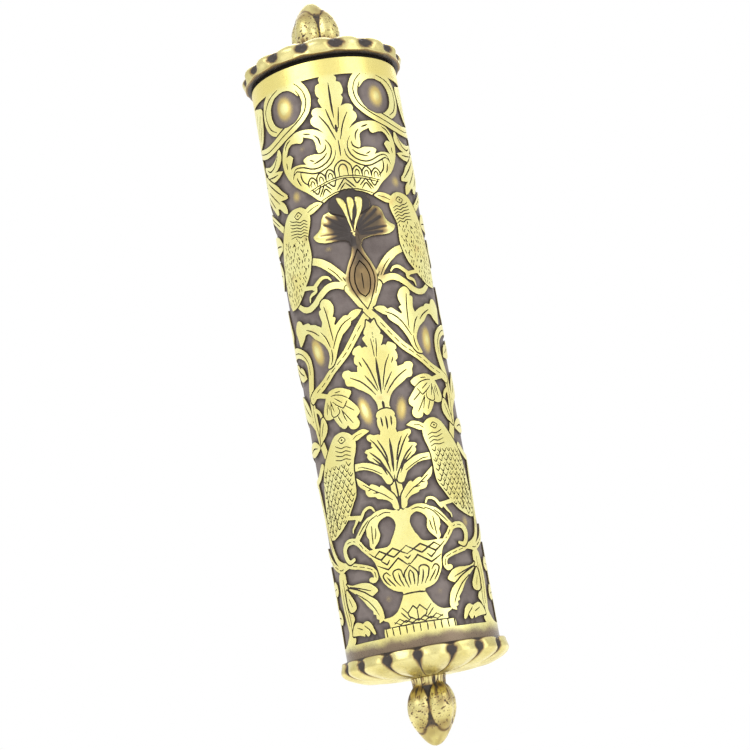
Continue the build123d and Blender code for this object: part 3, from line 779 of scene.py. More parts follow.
# Domes pressed out of the ground, as (s, height, half width, half length, tilt, rise, rubbed share)
DOMES = [
    (10.1, 101.6, 2.2, 2.9, 0.1, 0.44, 0.82), (-8.6, 101.8, 2.3, 3.0, -0.1, 0.46, 1.0),
    (-9.3, 84.8, 1.5, 1.7, 0, 0.26, 0.42), (11.2, 84.8, 1.5, 1.7, 0, 0.26, 0.4),
    (-6.3, 93.2, 1.2, 1.1, 0, 0.18, 0.22), (7.8, 92.6, 1.0, 1.0, 0, 0.16, 0.16),
    (-10.6, 55.5, 1.7, 3.6, -0.25, 0.4, 0.95), (11.8, 54.5, 1.5, 3.4, 0.1, 0.36, 0.85),
    (-2.9, 42.7, 1.4, 3.4, -0.2, 0.36, 1.0), (3.7, 42.0, 1.4, 3.2, 0.2, 0.34, 0.65),
    (-4.6, 9.1, 1.2, 1.2, 0, 0.2, 0.22), (4.8, 9.0, 1.2, 1.2, 0, 0.2, 0.18),
    (13.5, 20.8, 1.4, 1.8, 0, 0.2, 0.35), (-4.5, 73.4, 1.4, 0.9, 0, 0.12, 0.25),
    (-6.2, 62.4, 1.2, 1.2, 0, 0.14, 0.2), (7.4, 71.0, 1.6, 1.2, 0, 0.16, 0.15),
]
DOMES += [(math.copysign(HALF_TURN, s) - s, *rest) for s, *rest in DOMES if abs(s) < HALF_TURN / 2]

# The pressed flower's sculpture is worked out in the drawing's own coordinates
petal_path = smooth_path(PETAL, closed=True)
back_petal_path = smooth_path(BACK_PETAL, closed=True)
bulb_path = smooth_path(BULB, closed=True)
stamen_paths = [smooth_path(line, closed=True) for line in STAMENS]
fold_paths = [smooth_path(line, closed=False) for line in FOLDS]


def to_middle(s, z):
    """A place's coordinates in the drawing, on the front or on its repeat at the back."""
    u, height = shaken(s, z)
    back = np.abs(u) > HALF_TURN / 2
    return np.where(back, np.sign(u) * HALF_TURN - u, u), height


def near_flower(u, height):
    return (np.abs(u) < 10) & (height > 72.6) & (height < 84)


def near_bulb(u, height):
    return (np.abs(u) < 3.6) & (height > 59) & (height < 75)


def clear_of_seam(s):
    """1 on the whole sheet, fading to 0 at the two edges that meet at the seam."""
    return 1 - smoothstep(np.abs(s), HALF_TURN - 1.5, HALF_TURN)


def near_folds(x, y, width):
    """For each fold of the petals, 1 on its line and less to either side of it."""
    return [np.exp(-(np.maximum(-depth_in_stroke(path, (0.01, 0.01), x, y), 0) / width) ** 2)
            for path in fold_paths]


PETAL_RISE, BACK_PETAL_RISE, STAMEN_RISE, BULB_RISE = 0.42, 0.12, 0.24, 0.55
PETAL_HOLLOW, FOLD_DEPTH, FOLD_WIDTH = 0.30, 0.16, 0.2


def skin_height(s, z):
    """How far the polished level stands off the tube's own radius."""
    rise = (0.010 * value_noise(s, z, 7.0, 6) + 0.002 * value_noise(s, z, 2.2, 7)) * clear_of_seam(s)
    u, height = to_middle(s, z)
    here = near_flower(u, height)
    if here.any():
        x, y = np.abs(u[here]), height[here]
        petal = np.maximum(depth_inside(petal_path, x, y), 0)
        behind = np.maximum(depth_inside(back_petal_path, x, y), 0)
        bulge = PETAL_RISE * (1 - np.exp(-petal / 0.7)) + BACK_PETAL_RISE * (1 - np.exp(-behind / 0.5))
        bulge *= smoothstep(y, 72.8, 74.6)
        bulge -= PETAL_HOLLOW * np.exp(-(np.hypot(x - 1.0, y - 77.2) / 1.9) ** 2)
        for fold in near_folds(x, y, FOLD_WIDTH):
            bulge -= FOLD_DEPTH * fold
        for path in stamen_paths:
            bulge += STAMEN_RISE * smoothstep(depth_inside(path, u[here], y), 0, 0.3)
        rise[here] += bulge
    here = near_bulb(u, height)
    if here.any():
        inside = np.maximum(depth_inside(bulb_path, np.abs(u[here]), height[here]), 0)
        rise[here] += BULB_RISE * (1 - np.exp(-inside / 1.1)) * smoothstep(height[here], 60, 64)
        rise[here] -= 0.2 * smoothstep(height[here], 72, 74) * (inside > 0)
    return rise


# Brown stains on the polished level, as (distance from the centre, height, size, share). The wide one just
# above the flower, under the crown, is a painted shadow of the flower.
TINTS = [(3.9, 67.4, 1.9, 0.42), (-2.9, 67.2, 0.9, 0.36), (6.6, 81.6, 1.2, 0.34), (7.3, 62.6, 0.7, 0.36),
         (-0.4, 84.6, 2.2, 0.24), (-7.6, 62.0, 0.6, 0.3), (-9.4, 76.5, 0.8, 0.3), (10.8, 81.0, 1.2, 0.26)]


def dark_share(s, z):
    """How dark the polished level is: 0 is bright metal and 1 is charcoal. It is patina and stains, and on
    the pressed flower partly painted shade.
    """
    dark = np.zeros(s.shape)
    u, height = to_middle(s, z)
    here = near_flower(u, height)
    if here.any():
        # The petals darken towards their base, in their folds and on the back petal between them, and are
        # lighter along their edges: partly patina in the hollows, partly painted shade
        x, y = u[here], height[here]
        across = np.abs(x)
        petal = depth_inside(petal_path, across, y)
        behind = depth_inside(back_petal_path, across, y)
        reach = np.where(x > 0, 6.2, 4.5)
        away = np.hypot(x - FLOWER_BASE[0], (y - FLOWER_BASE[1]) * 0.75)
        turn = np.arctan2(y - FLOWER_BASE[1], across)
        streaks = value_noise(turn * 5, away * 0.3, 0.6, 8)
        ragged = away + 0.7 * streaks - 1.1 * smoothstep(turn, 0.2, 0.8)
        shade = 1 - smoothstep(ragged, reach - 2.2, reach + 1.2)
        shade -= 0.35 * np.exp(-np.maximum(petal, 0) / 0.28) * smoothstep(away, 2.0, 4.5)
        inner = np.where(petal > 0, np.where(x > 0, 0.78, 0.92) * shade, 0)
        inner = np.where((behind > 0) & (petal < 0.05), 1.0, inner)
        for fold in near_folds(across, y, 0.8 * FOLD_WIDTH):
            inner += 0.55 * fold
        for path in stamen_paths:
            inner = np.where(depth_inside(path, x, y) > 0.03, 0.0, inner)
        dark[here] = np.clip(inner, 0, 1)
    here = near_bulb(u, height) & (height < 74.2)
    if here.any():
        inside = depth_inside(bulb_path, np.abs(u[here]), height[here])
        brown = 0.62 * smoothstep(height[here], 60.6, 65) + 0.06 * value_noise(u[here], height[here], 0.8, 10)
        brown += 0.22 * smoothstep(height[here], 68, 72.4)
        rim = np.exp(-(np.maximum(inside, 0) / 0.42) ** 2) * (1 - smoothstep(height[here], 71, 73.6))
        dark[here] = np.maximum(dark[here], np.where(inside > 0, brown * (1 - 0.62 * rim), 0))
    for spot_u, spot_z, size, share in TINTS:
        near = np.exp(-(((u - spot_u) / size) ** 2 + ((height - spot_z) / (1.3 * size)) ** 2))
        dark = np.maximum(dark, share * near)
    return np.clip(dark, 0, 1)


def from_dome(s, z, dome):
    """How far each place lies from a dome's middle, across it and along it."""
    x, y, tilt = s - dome[0], z - dome[1], dome[4]
    return x - tilt * y, y + tilt * x


def ground_height(s, z):
    """How far the etched ground stands off the tube's own radius."""
    rise = 0.02 * value_noise(s, z, 3.0, 9)
    for dome in DOMES:
        _, _, half_width, half_length, _, lift, _ = dome
        across, along = from_dome(s, z, dome)
        rise = rise + lift * np.exp(-((across / half_width) ** 2 + (along / half_length) ** 2) * 1.3)
    seam = np.abs(np.abs(s) - HALF_TURN)
    return rise * clear_of_seam(s) - ETCH_DEPTH - 0.12 * (1 - smoothstep(seam, 0, SEAM_WIDTH / 2))


def rubbed_share(s, z):
    """How much bright metal shows through the ground's patina, on top of the domes."""
    rubbed = np.zeros(s.shape)
    for dome in DOMES:
        _, _, half_width, half_length, _, _, share = dome
        across, along = from_dome(s, z, dome)
        spread = (across / (half_width * 0.66)) ** 2 + (along / (half_length * 0.66)) ** 2
        rubbed = np.maximum(rubbed, share * np.exp(-spread ** 1.1))
    return rubbed


# ---------------------------------------------------------------- from the field to outlines

def outlines(level):
    """Closed loops where the field crosses a level, each with its raised side on the left."""
    high = field > level
    case = high[:-1, :-1] + 2 * high[:-1, 1:] + 4 * high[1:, 1:] + 8 * high[1:, :-1]
    count = rows * columns

    def edge(row, column, side):
        if side in "bt":
            return (row + (side == "t")) * columns + column
        return count + row * columns + column + (side == "r")

    steps = {1: ["bl"], 2: ["rb"], 4: ["tr"], 8: ["lt"], 3: ["rl"], 6: ["tb"], 12: ["lr"], 9: ["bt"],
             14: ["lb"], 13: ["br"], 11: ["rt"], 7: ["tl"], 5: ["bl", "tr"], 10: ["rb", "lt"]}
    following = {}
    for value, paths in steps.items():
        row, column = np.nonzero(case == value)
        for enter, leave in paths:
            following.update(zip(edge(row, column, enter).tolist(), edge(row, column, leave).tolist()))
    starts = np.array(list(following))
    upright = starts >= count
    row, column = np.divmod(np.where(upright, starts - count, starts), columns)
    value = field[row, column]
    beyond = field[row + upright, column + ~upright]
    share = (level - value) / (beyond - value)
    spot_s = sheet_s[row, column] + np.where(upright, 0, share * (sheet_s[0, 1] - sheet_s[0, 0]))
    spot_z = sheet_z[row, column] + np.where(upright, share * (sheet_z[1, 0] - sheet_z[0, 0]), 0)
    spots = dict(zip(starts.tolist(), zip(spot_s.tolist(), spot_z.tolist())))
    loops = []
    while following:
        first, step = following.popitem()
        loop = [spots[first]]
        while step != first:
            loop.append(spots[step])
            step = following.pop(step)
        loops.append(loop)
    return loops


def thin_out(loop, slack, longest):
    """Leaves out the points that a straight step passes within slack of."""
    kept = [0]
    place = 2
    while place < len(loop):
        (ax, ay), (bx, by) = loop[kept[-1]], loop[place]
        dx, dy = bx - ax, by - ay
        size = math.hypot(dx, dy) or 1e-9
        strays = any(abs((x - ax) * dy - (y - ay) * dx) > slack * size for x, y in loop[kept[-1] + 1:place])
        if strays or size > longest:
            kept.append(place - 1)
        place += 1
    kept.append(len(loop) - 1)
    return [loop[i] for i in kept]


def usable(loop):
    """False for a loop that closes over less than a speck."""
    x, y = np.array(loop).T
    return len(loop) > 3 and abs(np.dot(x, np.roll(y, 1)) - np.dot(y, np.roll(x, 1))) / 2 > 0.004


def sample(values, s, z):
    """The grid's value at each place, from the four cells' corners round it."""
    column = np.clip((s + HALF_TURN) / (2 * HALF_TURN) * (columns - 1), 0, columns - 1.001)
    row = np.clip(z / TUBE_LENGTH * (rows - 1), 0, rows - 1.001)
    left, low = column.astype(int), row.astype(int)
    across, up = column - left, row - low
    bottom = values[low, left] * (1 - across) + values[low, left + 1] * across
    top = values[low + 1, left] * (1 - across) + values[low + 1, left + 1] * across
    return bottom * (1 - up) + top * up


def spread(low, high, step):
    """Places in a slanted grid over a rectangle."""
    s, z = np.meshgrid(np.arange(low[0], high[0], step), np.arange(low[1], high[1], step * 0.87))
    s = s + step / 2 * (np.arange(len(s)) % 2)[:, None]
    return np.column_stack([s.ravel(), z.ravel()])


def inner_places():
    """Places inside the sheet's regions, closer together where the sheet bulges."""
    places = [spread((-HALF_TURN + 0.7, 0.6), (HALF_TURN - 0.7, TUBE_LENGTH - 0.6), 1.25)]
    for dome_s, dome_z, half_width, half_length, *_ in DOMES:
        reach = np.array([half_width, half_length]) * 1.25
        places.append(spread(np.array([dome_s, dome_z]) - reach, np.array([dome_s, dome_z]) + reach, 0.42))
    shift = float(centre_line(76))
    places.append(spread((shift - 9.2, 73), (shift + 9.2, 83.2), 0.2))
    places.append(spread((shift - 3.3, 59.8), (shift + 3.3, 73), 0.3))
    for side in (-1, 1):
        middle = side * (HALF_TURN - 4.4)
        places.append(spread((middle - 4.2, 73), (middle + 4.2, 83.2), 0.32))
        places.append(spread((side * HALF_TURN - 3.3, 59.8), (side * HALF_TURN + 3.3, 73), 0.4))
    places = np.concatenate(places)
    value = sample(field, places[:, 0], places[:, 1])
    keep = (np.abs(value) > 0.13) & (np.abs(value - BEVEL_WIDTH) > 0.1)
    keep &= (np.abs(places[:, 0]) < HALF_TURN - 0.3)
    keep &= (places[:, 1] > 0.3) & (places[:, 1] < TUBE_LENGTH - 0.3)
    keep &= from_nail_hole(places[:, 0], places[:, 1]) > NAIL_HOLE_RADIUS + 0.15
    return places[keep]


def half_circle(side, height, count=24):
    """A nail hole's outline on one side of the seam, from its lower end to its upper end."""
    spots = []
    for turn in np.linspace(-math.pi / 2, math.pi / 2, count):
        across, up = NAIL_HOLE_RADIUS * math.cos(turn), NAIL_HOLE_RADIUS * math.sin(turn)
        spots.append((side * (HALF_TURN - across), height + up))
    return spots


def sheet_edge():
    """The sheet's outline, with half of each nail hole at both of its upright edges."""
    def upright(side):
        line, low = [], 0.0
        for hole_height in sorted(NAIL_HOLE_HEIGHTS) + [None]:
            high = TUBE_LENGTH if hole_height is None else hole_height - NAIL_HOLE_RADIUS
            steps = int((high - low) / 1.2) + 2
            line += [(side * HALF_TURN, z) for z in np.linspace(low, high, steps)]
            if hole_height is not None:
                line += half_circle(side, hole_height)[1:-1]
                low = hole_height + NAIL_HOLE_RADIUS
        return line
    steps = int(2 * HALF_TURN / 0.9)
    across = np.linspace(-HALF_TURN, HALF_TURN, steps)[1:-1]
    bottom, top = [(s, 0.0) for s in across], [(s, TUBE_LENGTH) for s in across[::-1]]
    return bottom + upright(1) + top + upright(-1)[::-1]


# Kinds of fixed edges in the triangulation, and of faces, which are the tube's material slots
SHEET_EDGE, BEVEL_EDGE, ETCHED_EDGE = 0, 1, 2
POLISHED, GROUND, WALL, PLAIN = 0, 1, 2, 3
LONGEST_STEP = 1.4


def triangulate(loops, loose):
    """Triangles of a plane region: loops are (points, kind). Gives points, triangles and each edge's kind."""
    points, edges, kinds = [], [], []
    for loop, kind in loops:
        base, count = len(points), len(loop)
        points += loop
        edges += [(base + i, base + (i + 1) % count) for i in range(count)]
        kinds += [kind] * count
    points += [tuple(place) for place in loose]
    spots, out_edges, faces, _, from_edges, _ = delaunay_2d_cdt(
        [Vector(point) for point in points], edges, [], 0, 1e-6)
    fixed = {}
    for (a, b), sources in zip(out_edges, from_edges):
        if sources:
            fixed[(min(a, b), max(a, b))] = max(kinds[source] for source in sources if source < len(kinds))
    return np.array(spots), np.array(faces), fixed


def sides(face):
    """A triangle's three sides, in its own direction."""
    a, b, c = face
    return (a, b), (b, c), (c, a)


def regions(faces, fixed):
    """Each triangle's region: triangles that share an edge without crossing a loop are in one region."""
    by_edge = {}
    for number, face in enumerate(faces.tolist()):
        for pair in sides(face):
            by_edge.setdefault((min(pair), max(pair)), []).append(number)
    joined = np.array([both for pair, both in by_edge.items() if len(both) == 2 and pair not in fixed])
    label = np.arange(len(faces))
    while True:
        low = np.minimum(label[joined[:, 0]], label[joined[:, 1]])
        new = label.copy()
        np.minimum.at(new, joined[:, 0], low)
        np.minimum.at(new, joined[:, 1], low)
        new = new[new]
        if (new == label).all():
            return label
        label = new


def rolled(s, z, lift):
    """A place on the sheet, rolled round the tube's axis, in metres."""
    turn, radius = s / TUBE_RADIUS, TUBE_RADIUS + lift
    return np.column_stack([radius * np.sin(turn), -radius * np.cos(turn), z + TUBE_BOTTOM]) * MM


def rolled_direction(s, along_s, along_z, outwards):
    """A direction on the sheet, rolled round the tube's axis."""
    turn = s / TUBE_RADIUS
    x = along_s * np.cos(turn) + outwards * np.sin(turn)
    y = along_s * np.sin(turn) - outwards * np.cos(turn)
    found = np.column_stack([x, y, along_z])
    return found / np.linalg.norm(found, axis=1)[:, None]


def slope_of(height_of, s, z):
    """The normal of a surface of the given height over the sheet."""
    step = 0.04
    along_s = (height_of(s + step, z) - height_of(s - step, z)) / (2 * step)
    along_z = (height_of(s, z + step) - height_of(s, z - step)) / (2 * step)
    return rolled_direction(s, -along_s, -along_z, np.ones(len(s)))


def build_mesh(name, points, faces, normals, kinds, attributes):
    """A mesh object with shading normals, one material slot per kind of face, and named attributes."""
    mesh = bpy.data.meshes.new(name)
    mesh.from_pydata(points.tolist(), [], faces)
    mesh.polygons.foreach_set("material_index", np.asarray(kinds, np.int32))
    mesh.polygons.foreach_set("use_smooth", np.ones(len(faces), bool))
    for label, values in attributes.items():
        layer = mesh.attributes.new(label, "FLOAT", "POINT")
        layer.data.foreach_set("value", np.asarray(values, np.float32))
    if normals is not None:
        mesh.normals_split_custom_set(normals.tolist())
    mesh.update()
    piece = bpy.data.objects.new(name, mesh)
    bpy.context.scene.collection.objects.link(piece)
    return piece


def build_plain_mesh(name, points, faces, attributes):
    """A smooth mesh object with one material."""
    return build_mesh(name, points, faces, None, [0] * len(faces), attributes)


def wind(spots, faces, sign):
    """Turns the triangles of a plane region anticlockwise, or clockwise where the sign is -1."""
    corners = spots[faces]
    turned = sign * np.cross(corners[:, 1] - corners[:, 0], corners[:, 2] - corners[:, 0]) < 0
    faces[turned] = faces[turned][:, ::-1]
    return faces


def sort_faces(spots, faces, fixed):
    """Which triangles lie in the polished level, in its bevel and in the ground."""
    label = regions(faces, fixed)
    corners = spots[faces]
    middle = corners.mean(axis=1)
    first, second = corners[:, 1] - corners[:, 0], corners[:, 2] - corners[:, 0]
    area = np.abs(first[:, 0] * second[:, 1] - first[:, 1] * second[:, 0]) / 2
    value = sample(field, middle[:, 0], middle[:, 1])
    total = np.bincount(label, area, len(faces))[label]
    mean = np.bincount(label, area * value, len(faces))[label] / np.maximum(total, 1e-12)
    solid = from_nail_hole(middle[:, 0], middle[:, 1]) >= NAIL_HOLE_RADIUS * 0.99
    is_ground = (mean < 0) & solid
    is_top = (mean > BEVEL_WIDTH) & solid
    return is_top, ~is_ground & ~is_top & solid, is_ground


def etched_walls(raised_faces, fixed, shift):
    """The walls between the two levels. The ground's points are numbered from shift on."""
    directed = {pair: True for face in raised_faces.tolist() for pair in sides(face)}
    return [(b, a, a + shift, b + shift) for a, b in directed
            if fixed.get((min(a, b), max(a, b))) == ETCHED_EDGE and (b, a) not in directed]


def open_sides(ground_faces, walls):
    """Sides of the ground and the walls that no other face shares."""
    opened = {pair: True for face in ground_faces.tolist() for pair in sides(face)}
    opened.update({(wall[2], wall[3]): True for wall in walls})
    return [(a, b) for a, b in opened if (b, a) not in opened]


def build_bore(rims, seam_points, s, z):
    """The bore's points and triangles, with the outside's own outline, so that every opening closes."""
    numbers = sorted({a for pair in rims for a in pair} | set(seam_points))
    place_of = {number: place for place, number in enumerate(numbers)}
    loose = spread((-HALF_TURN + 1, 1.2), (HALF_TURN - 1, TUBE_LENGTH - 1), 2.4)
    loose = loose[from_nail_hole(loose[:, 0], loose[:, 1]) > NAIL_HOLE_RADIUS + 0.4]
    spots = [(s[number], z[number]) for number in numbers] + [tuple(place) for place in loose]
    edges = [(place_of[a], place_of[b]) for a, b in rims]
    made, _, faces, _, _, _ = delaunay_2d_cdt([Vector(spot) for spot in spots], edges, [], 0, 1e-7)
    made, faces = np.array(made), np.array(faces)
    centre = made[faces].mean(axis=1)
    faces = faces[from_nail_hole(centre[:, 0], centre[:, 1]) > NAIL_HOLE_RADIUS * 0.99]
    return made, wind(made, faces, -1)


def close_mouths(rims, spots, made, points, count):
    """The faces of the sheet's thickness, round the two mouths and the nail holes, with their normals."""
    nearest = {tuple(spot): number + 2 * count for number, spot in enumerate(np.round(made, 4).tolist())}
    faces, normals = [], []
    for a, b in dict(rims).items():
        low_a = nearest.get(tuple(np.round(spots[a], 4).tolist()))
        low_b = nearest.get(tuple(np.round(spots[b], 4).tolist()))
        if low_a is None or low_b is None:
            continue
        faces.append([b + count, a + count, low_a, low_b])
        corner = points[[b + count, a + count, low_a]]
        flat = np.cross(corner[1] - corner[0], corner[2] - corner[0])
        normals.append(np.tile(flat / max(np.linalg.norm(flat), 1e-15), (4, 1)))
    return faces, normals


def join_seam(points, faces, normals, kinds):
    """Joins points at one place, as along the seam, and leaves out unused points and collapsed faces."""
    index = np.concatenate([np.array(face) for face in faces])
    sizes = np.array([len(face) for face in faces])
    key = np.round(points / (0.0005 * MM)).astype(np.int64)
    _, firsts, same = np.unique(key, axis=0, return_index=True, return_inverse=True)
    same = same.ravel()
    used = np.unique(same[index])
    renumber = np.full(len(firsts), -1)
    renumber[used] = np.arange(len(used))
    index = renumber[same[index]]
    starts = np.concatenate([[0], np.cumsum(sizes)[:-1]])
    kept_faces, kept_normals, kept_kinds = [], [], []
    for start, size, kind in zip(starts.tolist(), sizes.tolist(), kinds):
        ring = index[start:start + size].tolist()
        if len(set(ring)) == size:
            kept_faces.append(ring)
            kept_normals.append(normals[start:start + size])
            kept_kinds.append(kind)
    return firsts[used], kept_faces, np.concatenate(kept_normals), kept_kinds


def build_tube():
    """The etched tube: polished level, bevels, etched walls, ground, bore and ends, in one closed mesh."""
    outer = [(thin_out(loop, OUTLINE_SLACK, LONGEST_STEP), ETCHED_EDGE)
             for loop in outlines(0.0) if usable(loop)]
    inner = [(thin_out(loop, BEVEL_SLACK, LONGEST_STEP), BEVEL_EDGE)
             for loop in outlines(BEVEL_WIDTH) if usable(loop)]
    spots, faces, fixed = triangulate(outer + inner + [(sheet_edge(), SHEET_EDGE)], inner_places())
    is_top, is_bevel, is_ground = sort_faces(spots, faces, fixed)
    faces = wind(spots, faces, 1)
    s, z = spots[:, 0], spots[:, 1]

    # Points are doubled where the ground meets the polished level's edge
    count = len(spots)
    on_outer = np.zeros(count, bool)
    on_outer[np.array([pair for pair, kind in fixed.items() if kind == ETCHED_EDGE]).ravel()] = True
    low_points = rolled(s, z, ground_height(s, z))
    high_points = rolled(s, z, skin_height(s, z) - BEVEL_DROP * on_outer)
    grow_z, grow_s = np.gradient(field, sheet_z[1, 0] - sheet_z[0, 0], sheet_s[0, 1] - sheet_s[0, 0])
    out_s, out_z = -sample(grow_s, s, z), -sample(grow_z, s, z)
    skin_normal = slope_of(skin_height, s, z)
    rounded = rolled_direction(s, out_s * 1.1, out_z * 1.1, np.ones(count))
    skin_normal[on_outer] = rounded[on_outer]
    ground_normal = slope_of(ground_height, s, z)
    wall_normal = rolled_direction(s, out_s + 1e-6, out_z, np.full(count, 0.25))
    all_faces, all_normals, kinds = [], [], []

    def add(group, normals, kind):
        all_faces.extend(group)
        all_normals.append(normals)
        kinds.extend([kind] * len(group))

    for chosen in (is_top, is_bevel):
        add(faces[chosen].tolist(), skin_normal[faces[chosen].ravel()], POLISHED)
    add((faces[is_ground] + count).tolist(), ground_normal[faces[is_ground].ravel()], GROUND)
    raised = is_top | is_bevel
    walls = etched_walls(faces[raised], fixed, count)
    add([list(wall) for wall in walls], wall_normal[np.array(walls).ravel() % count], WALL)

    # The bore, and the sheet's thickness at every opening
    on_seam = np.abs(np.abs(s) - HALF_TURN) < 1e-4
    rims = [(a - count, b - count) for a, b in open_sides(faces[is_ground] + count, walls)
            if not (on_seam[a - count] and on_seam[b - count])]
    made, bore_faces = build_bore(rims, np.nonzero(on_seam)[0].tolist(), s, z)
    zero = np.zeros(len(made))
    bore_normal = rolled_direction(made[:, 0], zero, zero, zero - 1)
    add((bore_faces + 2 * count).tolist(), bore_normal[bore_faces.ravel()], PLAIN)
    bore_points = rolled(made[:, 0], made[:, 1], zero + BORE_RADIUS - TUBE_RADIUS)
    points = np.concatenate([high_points, low_points, bore_points])
    mouth_faces, mouth_normals = close_mouths(rims, spots, made, points, count)
    add(mouth_faces, np.concatenate(mouth_normals), PLAIN)

    normals = np.concatenate(all_normals)
    source, kept_faces, kept_normals, kept_kinds = join_seam(points, all_faces, normals, kinds)
    flat_s = np.concatenate([s, s, made[:, 0]])[source]
    flat_z = np.concatenate([z, z, made[:, 1]])[source]
    on_ground = (source >= count) & (source < 2 * count)
    shares = {"dark": np.where(source < count, dark_share(flat_s, flat_z), 0),
              "rubbed": np.where(on_ground, rubbed_share(flat_s, flat_z), 0),
              "shadow_and_patina": np.where(on_ground, shadow_and_patina_share(flat_s, flat_z), 0)}
    return build_mesh("etched_tube", points[source], kept_faces, kept_normals, kept_kinds, shares)


def shadow_and_patina_share(s, z):
    """How much blacker the ground is: a painted shadow round the raised flower, partly painted shade and
    partly patina at the foot of the raised edges, and patina in the fine lines.
    """
    u, height = to_middle(s, z)
    # Painted shadow of the raised flower on the ground round it
    flower = np.exp(-((u / 4.5) ** 2 + ((height - 81) / 2.4) ** 2))
    flower = np.maximum(flower, 0.45 * np.exp(-((u / 5.5) ** 2 + ((height - 72.5) / 3.5) ** 2)))
    value = sample(field, s, z)
    # Near raised edges: partly painted shade, partly patina; in fine lines: patina
    edge_shade_and_patina, in_line = smoothstep(value, -0.6, -0.25), smoothstep(value, -0.28, -0.1)
    return np.clip(0.85 * flower + 0.3 * edge_shade_and_patina + 0.75 * in_line, 0, 1)


# ---------------------------------------------------------------- the two caps and their finials

SEAT_HEIGHT = (TUBE_LENGTH + 0.8) / 2
BOTTOM_GROOVES = [-70, -49, -26, -4.3, 19, 41, 63] + [63 + 22.7 * step for step in range(1, 10)]
TOP_GROOVES = [-56.7, -35, -11.5, 13.6, 36.7, 60, 80] + [80 + 22.33 * step for step in range(1, 10)]
RIM_RADIUS = 15.15

# Each cap's dimples in the rim, as (half width, half height, height over the seat)
BOTTOM_DIMPLE = (1.0, 1.2, 1.15)
TOP_DIMPLE = (1.5, 1.15, 1.7)

# The caps' relief
LOBE_RISE, DIMPLE_DEPTH, GROOVE_DEPTH, GROOVE_WIDTH = 0.42, 0.42, 0.2, 0.17


def cap_profile():
    """The cap's cross section as (radius, height over the seat, share of the casting's waviness)."""
    rim = [(RIM_RADIUS - 0.3 + 0.3 * math.sin(turn), 0.3 - 0.3 * math.cos(turn))
           for turn in np.linspace(0, math.pi / 2, 5)]
    wall = [(RIM_RADIUS, height) for height in np.linspace(0.42, 1.8, 12)]
    dome = smooth_path([(RIM_RADIUS, 1.95), (14.85, 2.5), (13.55, 3.3), (11.0, 4.15), (7.3, 4.65), (5, 4.82),
                        (3.4, 4.85)], closed=False)
    outside = [(*point, 1.0) for point in rim + wall + [tuple(point) for point in dome]]
    inside = [(2.5, 4.85), (2.5, 3.6), (5.4, 3.6), (8, 3.35), (11, 2.3), (12, 1.6), (13.15, 1.6),
              (13.15, 0.0), (14.4, 0.0)]
    return outside + [(*point, 0.0) for point in inside]


def build_cap(name, side, grooves, dimple_size, seed):
    """A cast cap: cushioned lobes parted by thin grooves, each with a dark dimple in the rim."""
    profile = np.array(cap_profile())
    count = len(profile)
    around = 640
    turns = 2 * math.pi * np.arange(around) / around - math.pi
    centres = np.radians(np.array(grooves))
    from_groove = (turns[:, None] - centres[None, :] + math.pi) % (2 * math.pi) - math.pi
    nearest = np.abs(from_groove).argmin(axis=1)
    away = np.abs(from_groove[np.arange(around), nearest])
    width = (np.random.default_rng(seed).uniform(0.85, 1.15, len(grooves)))[nearest]
    radius, height, cast = profile[:, 0], profile[:, 1], profile[:, 2]
    tangent = np.gradient(profile[:, :2], axis=0)
    normal = np.column_stack([tangent[:, 1], -tangent[:, 0]])
    normal /= np.linalg.norm(normal, axis=1)[:, None]
    arc = away[:, None] * radius[None, :]
    up = np.broadcast_to(height, arc.shape)
    on_dome = smoothstep(up, 0.2, 1.8) * smoothstep(radius[None, :], 3.6, 6.5)
    groove = np.exp(-(arc / GROOVE_WIDTH) ** 2) * smoothstep(up, 1.4, 2.2)
    groove = groove * smoothstep(radius[None, :], 3.4, 4.4)
    lobe = LOBE_RISE * (1 - np.exp(-(arc / 1.6) ** 2))
    half_width, half_height, dimple_height = dimple_size
    ellipse = (arc / (half_width * width[:, None])) ** 2 + ((up - dimple_height) / half_height) ** 2
    dimple = np.exp(-ellipse ** 1.3)
    wave = value_noise(arc * 0 + turns[:, None] * 15, up + radius[None, :], 1.7, seed + 30)
    shift = cast * (lobe * on_dome - GROOVE_DEPTH * groove - DIMPLE_DEPTH * dimple + 0.03 * wave - 0.1)
    r = radius[None, :] + normal[None, :, 0] * shift
    h = height[None, :] + normal[None, :, 1] * shift
    h = h + cast * 0.22 * np.exp(-(arc / 1.2) ** 2) * (1 - smoothstep(up, 0.3, 1.5))
    x, y = r * np.sin(turns)[:, None], -r * np.cos(turns)[:, None]
    points = np.stack([x, y, side * (SEAT_HEIGHT + h)], axis=-1).reshape(-1, 3) * MM
    faces = ring_faces(around, count, side > 0, closed=True)
    ragged = 0.3 * value_noise(arc * 3, up * 3 + turns[:, None] * 40, 1.0, seed)
    spot = np.maximum(ellipse + ragged, 0)
    flame = np.exp(-(arc / (0.75 * half_width * (1 - 0.6 * smoothstep(up, dimple_height, 3.6)))) ** 2)
    flame = flame * smoothstep(up, dimple_height - 0.6, dimple_height) * (1 - smoothstep(up, 2.6, 3.9))
    beside = np.exp(-(arc / 0.8) ** 2) * on_dome * smoothstep(radius[None, :], 9, 14)
    line = np.exp(-(arc / 0.15) ** 2) * groove
    dark = cast * np.clip(0.96 * np.exp(-spot ** 2) + 0.55 * flame + 0.9 * line + 0.3 * beside, 0, 1)
    # Painted shade: the cap's inside and underside are made nearly black, as shade in the gap over the tube's
    # mouth; the rim's lowest edge is made darker too
    under = (1 - cast) * 0.95
    dark = np.clip(dark + under + cast * 0.55 * (1 - smoothstep(up, 0.0, 0.3)), 0, 1)
    pitted = cast * 0.35 * (1 - smoothstep(radius[None, :] + 0 * arc, 4.0, 8.0))
    return build_plain_mesh(name, points, faces, {"dark": dark.ravel(), "pitted": pitted.ravel()})


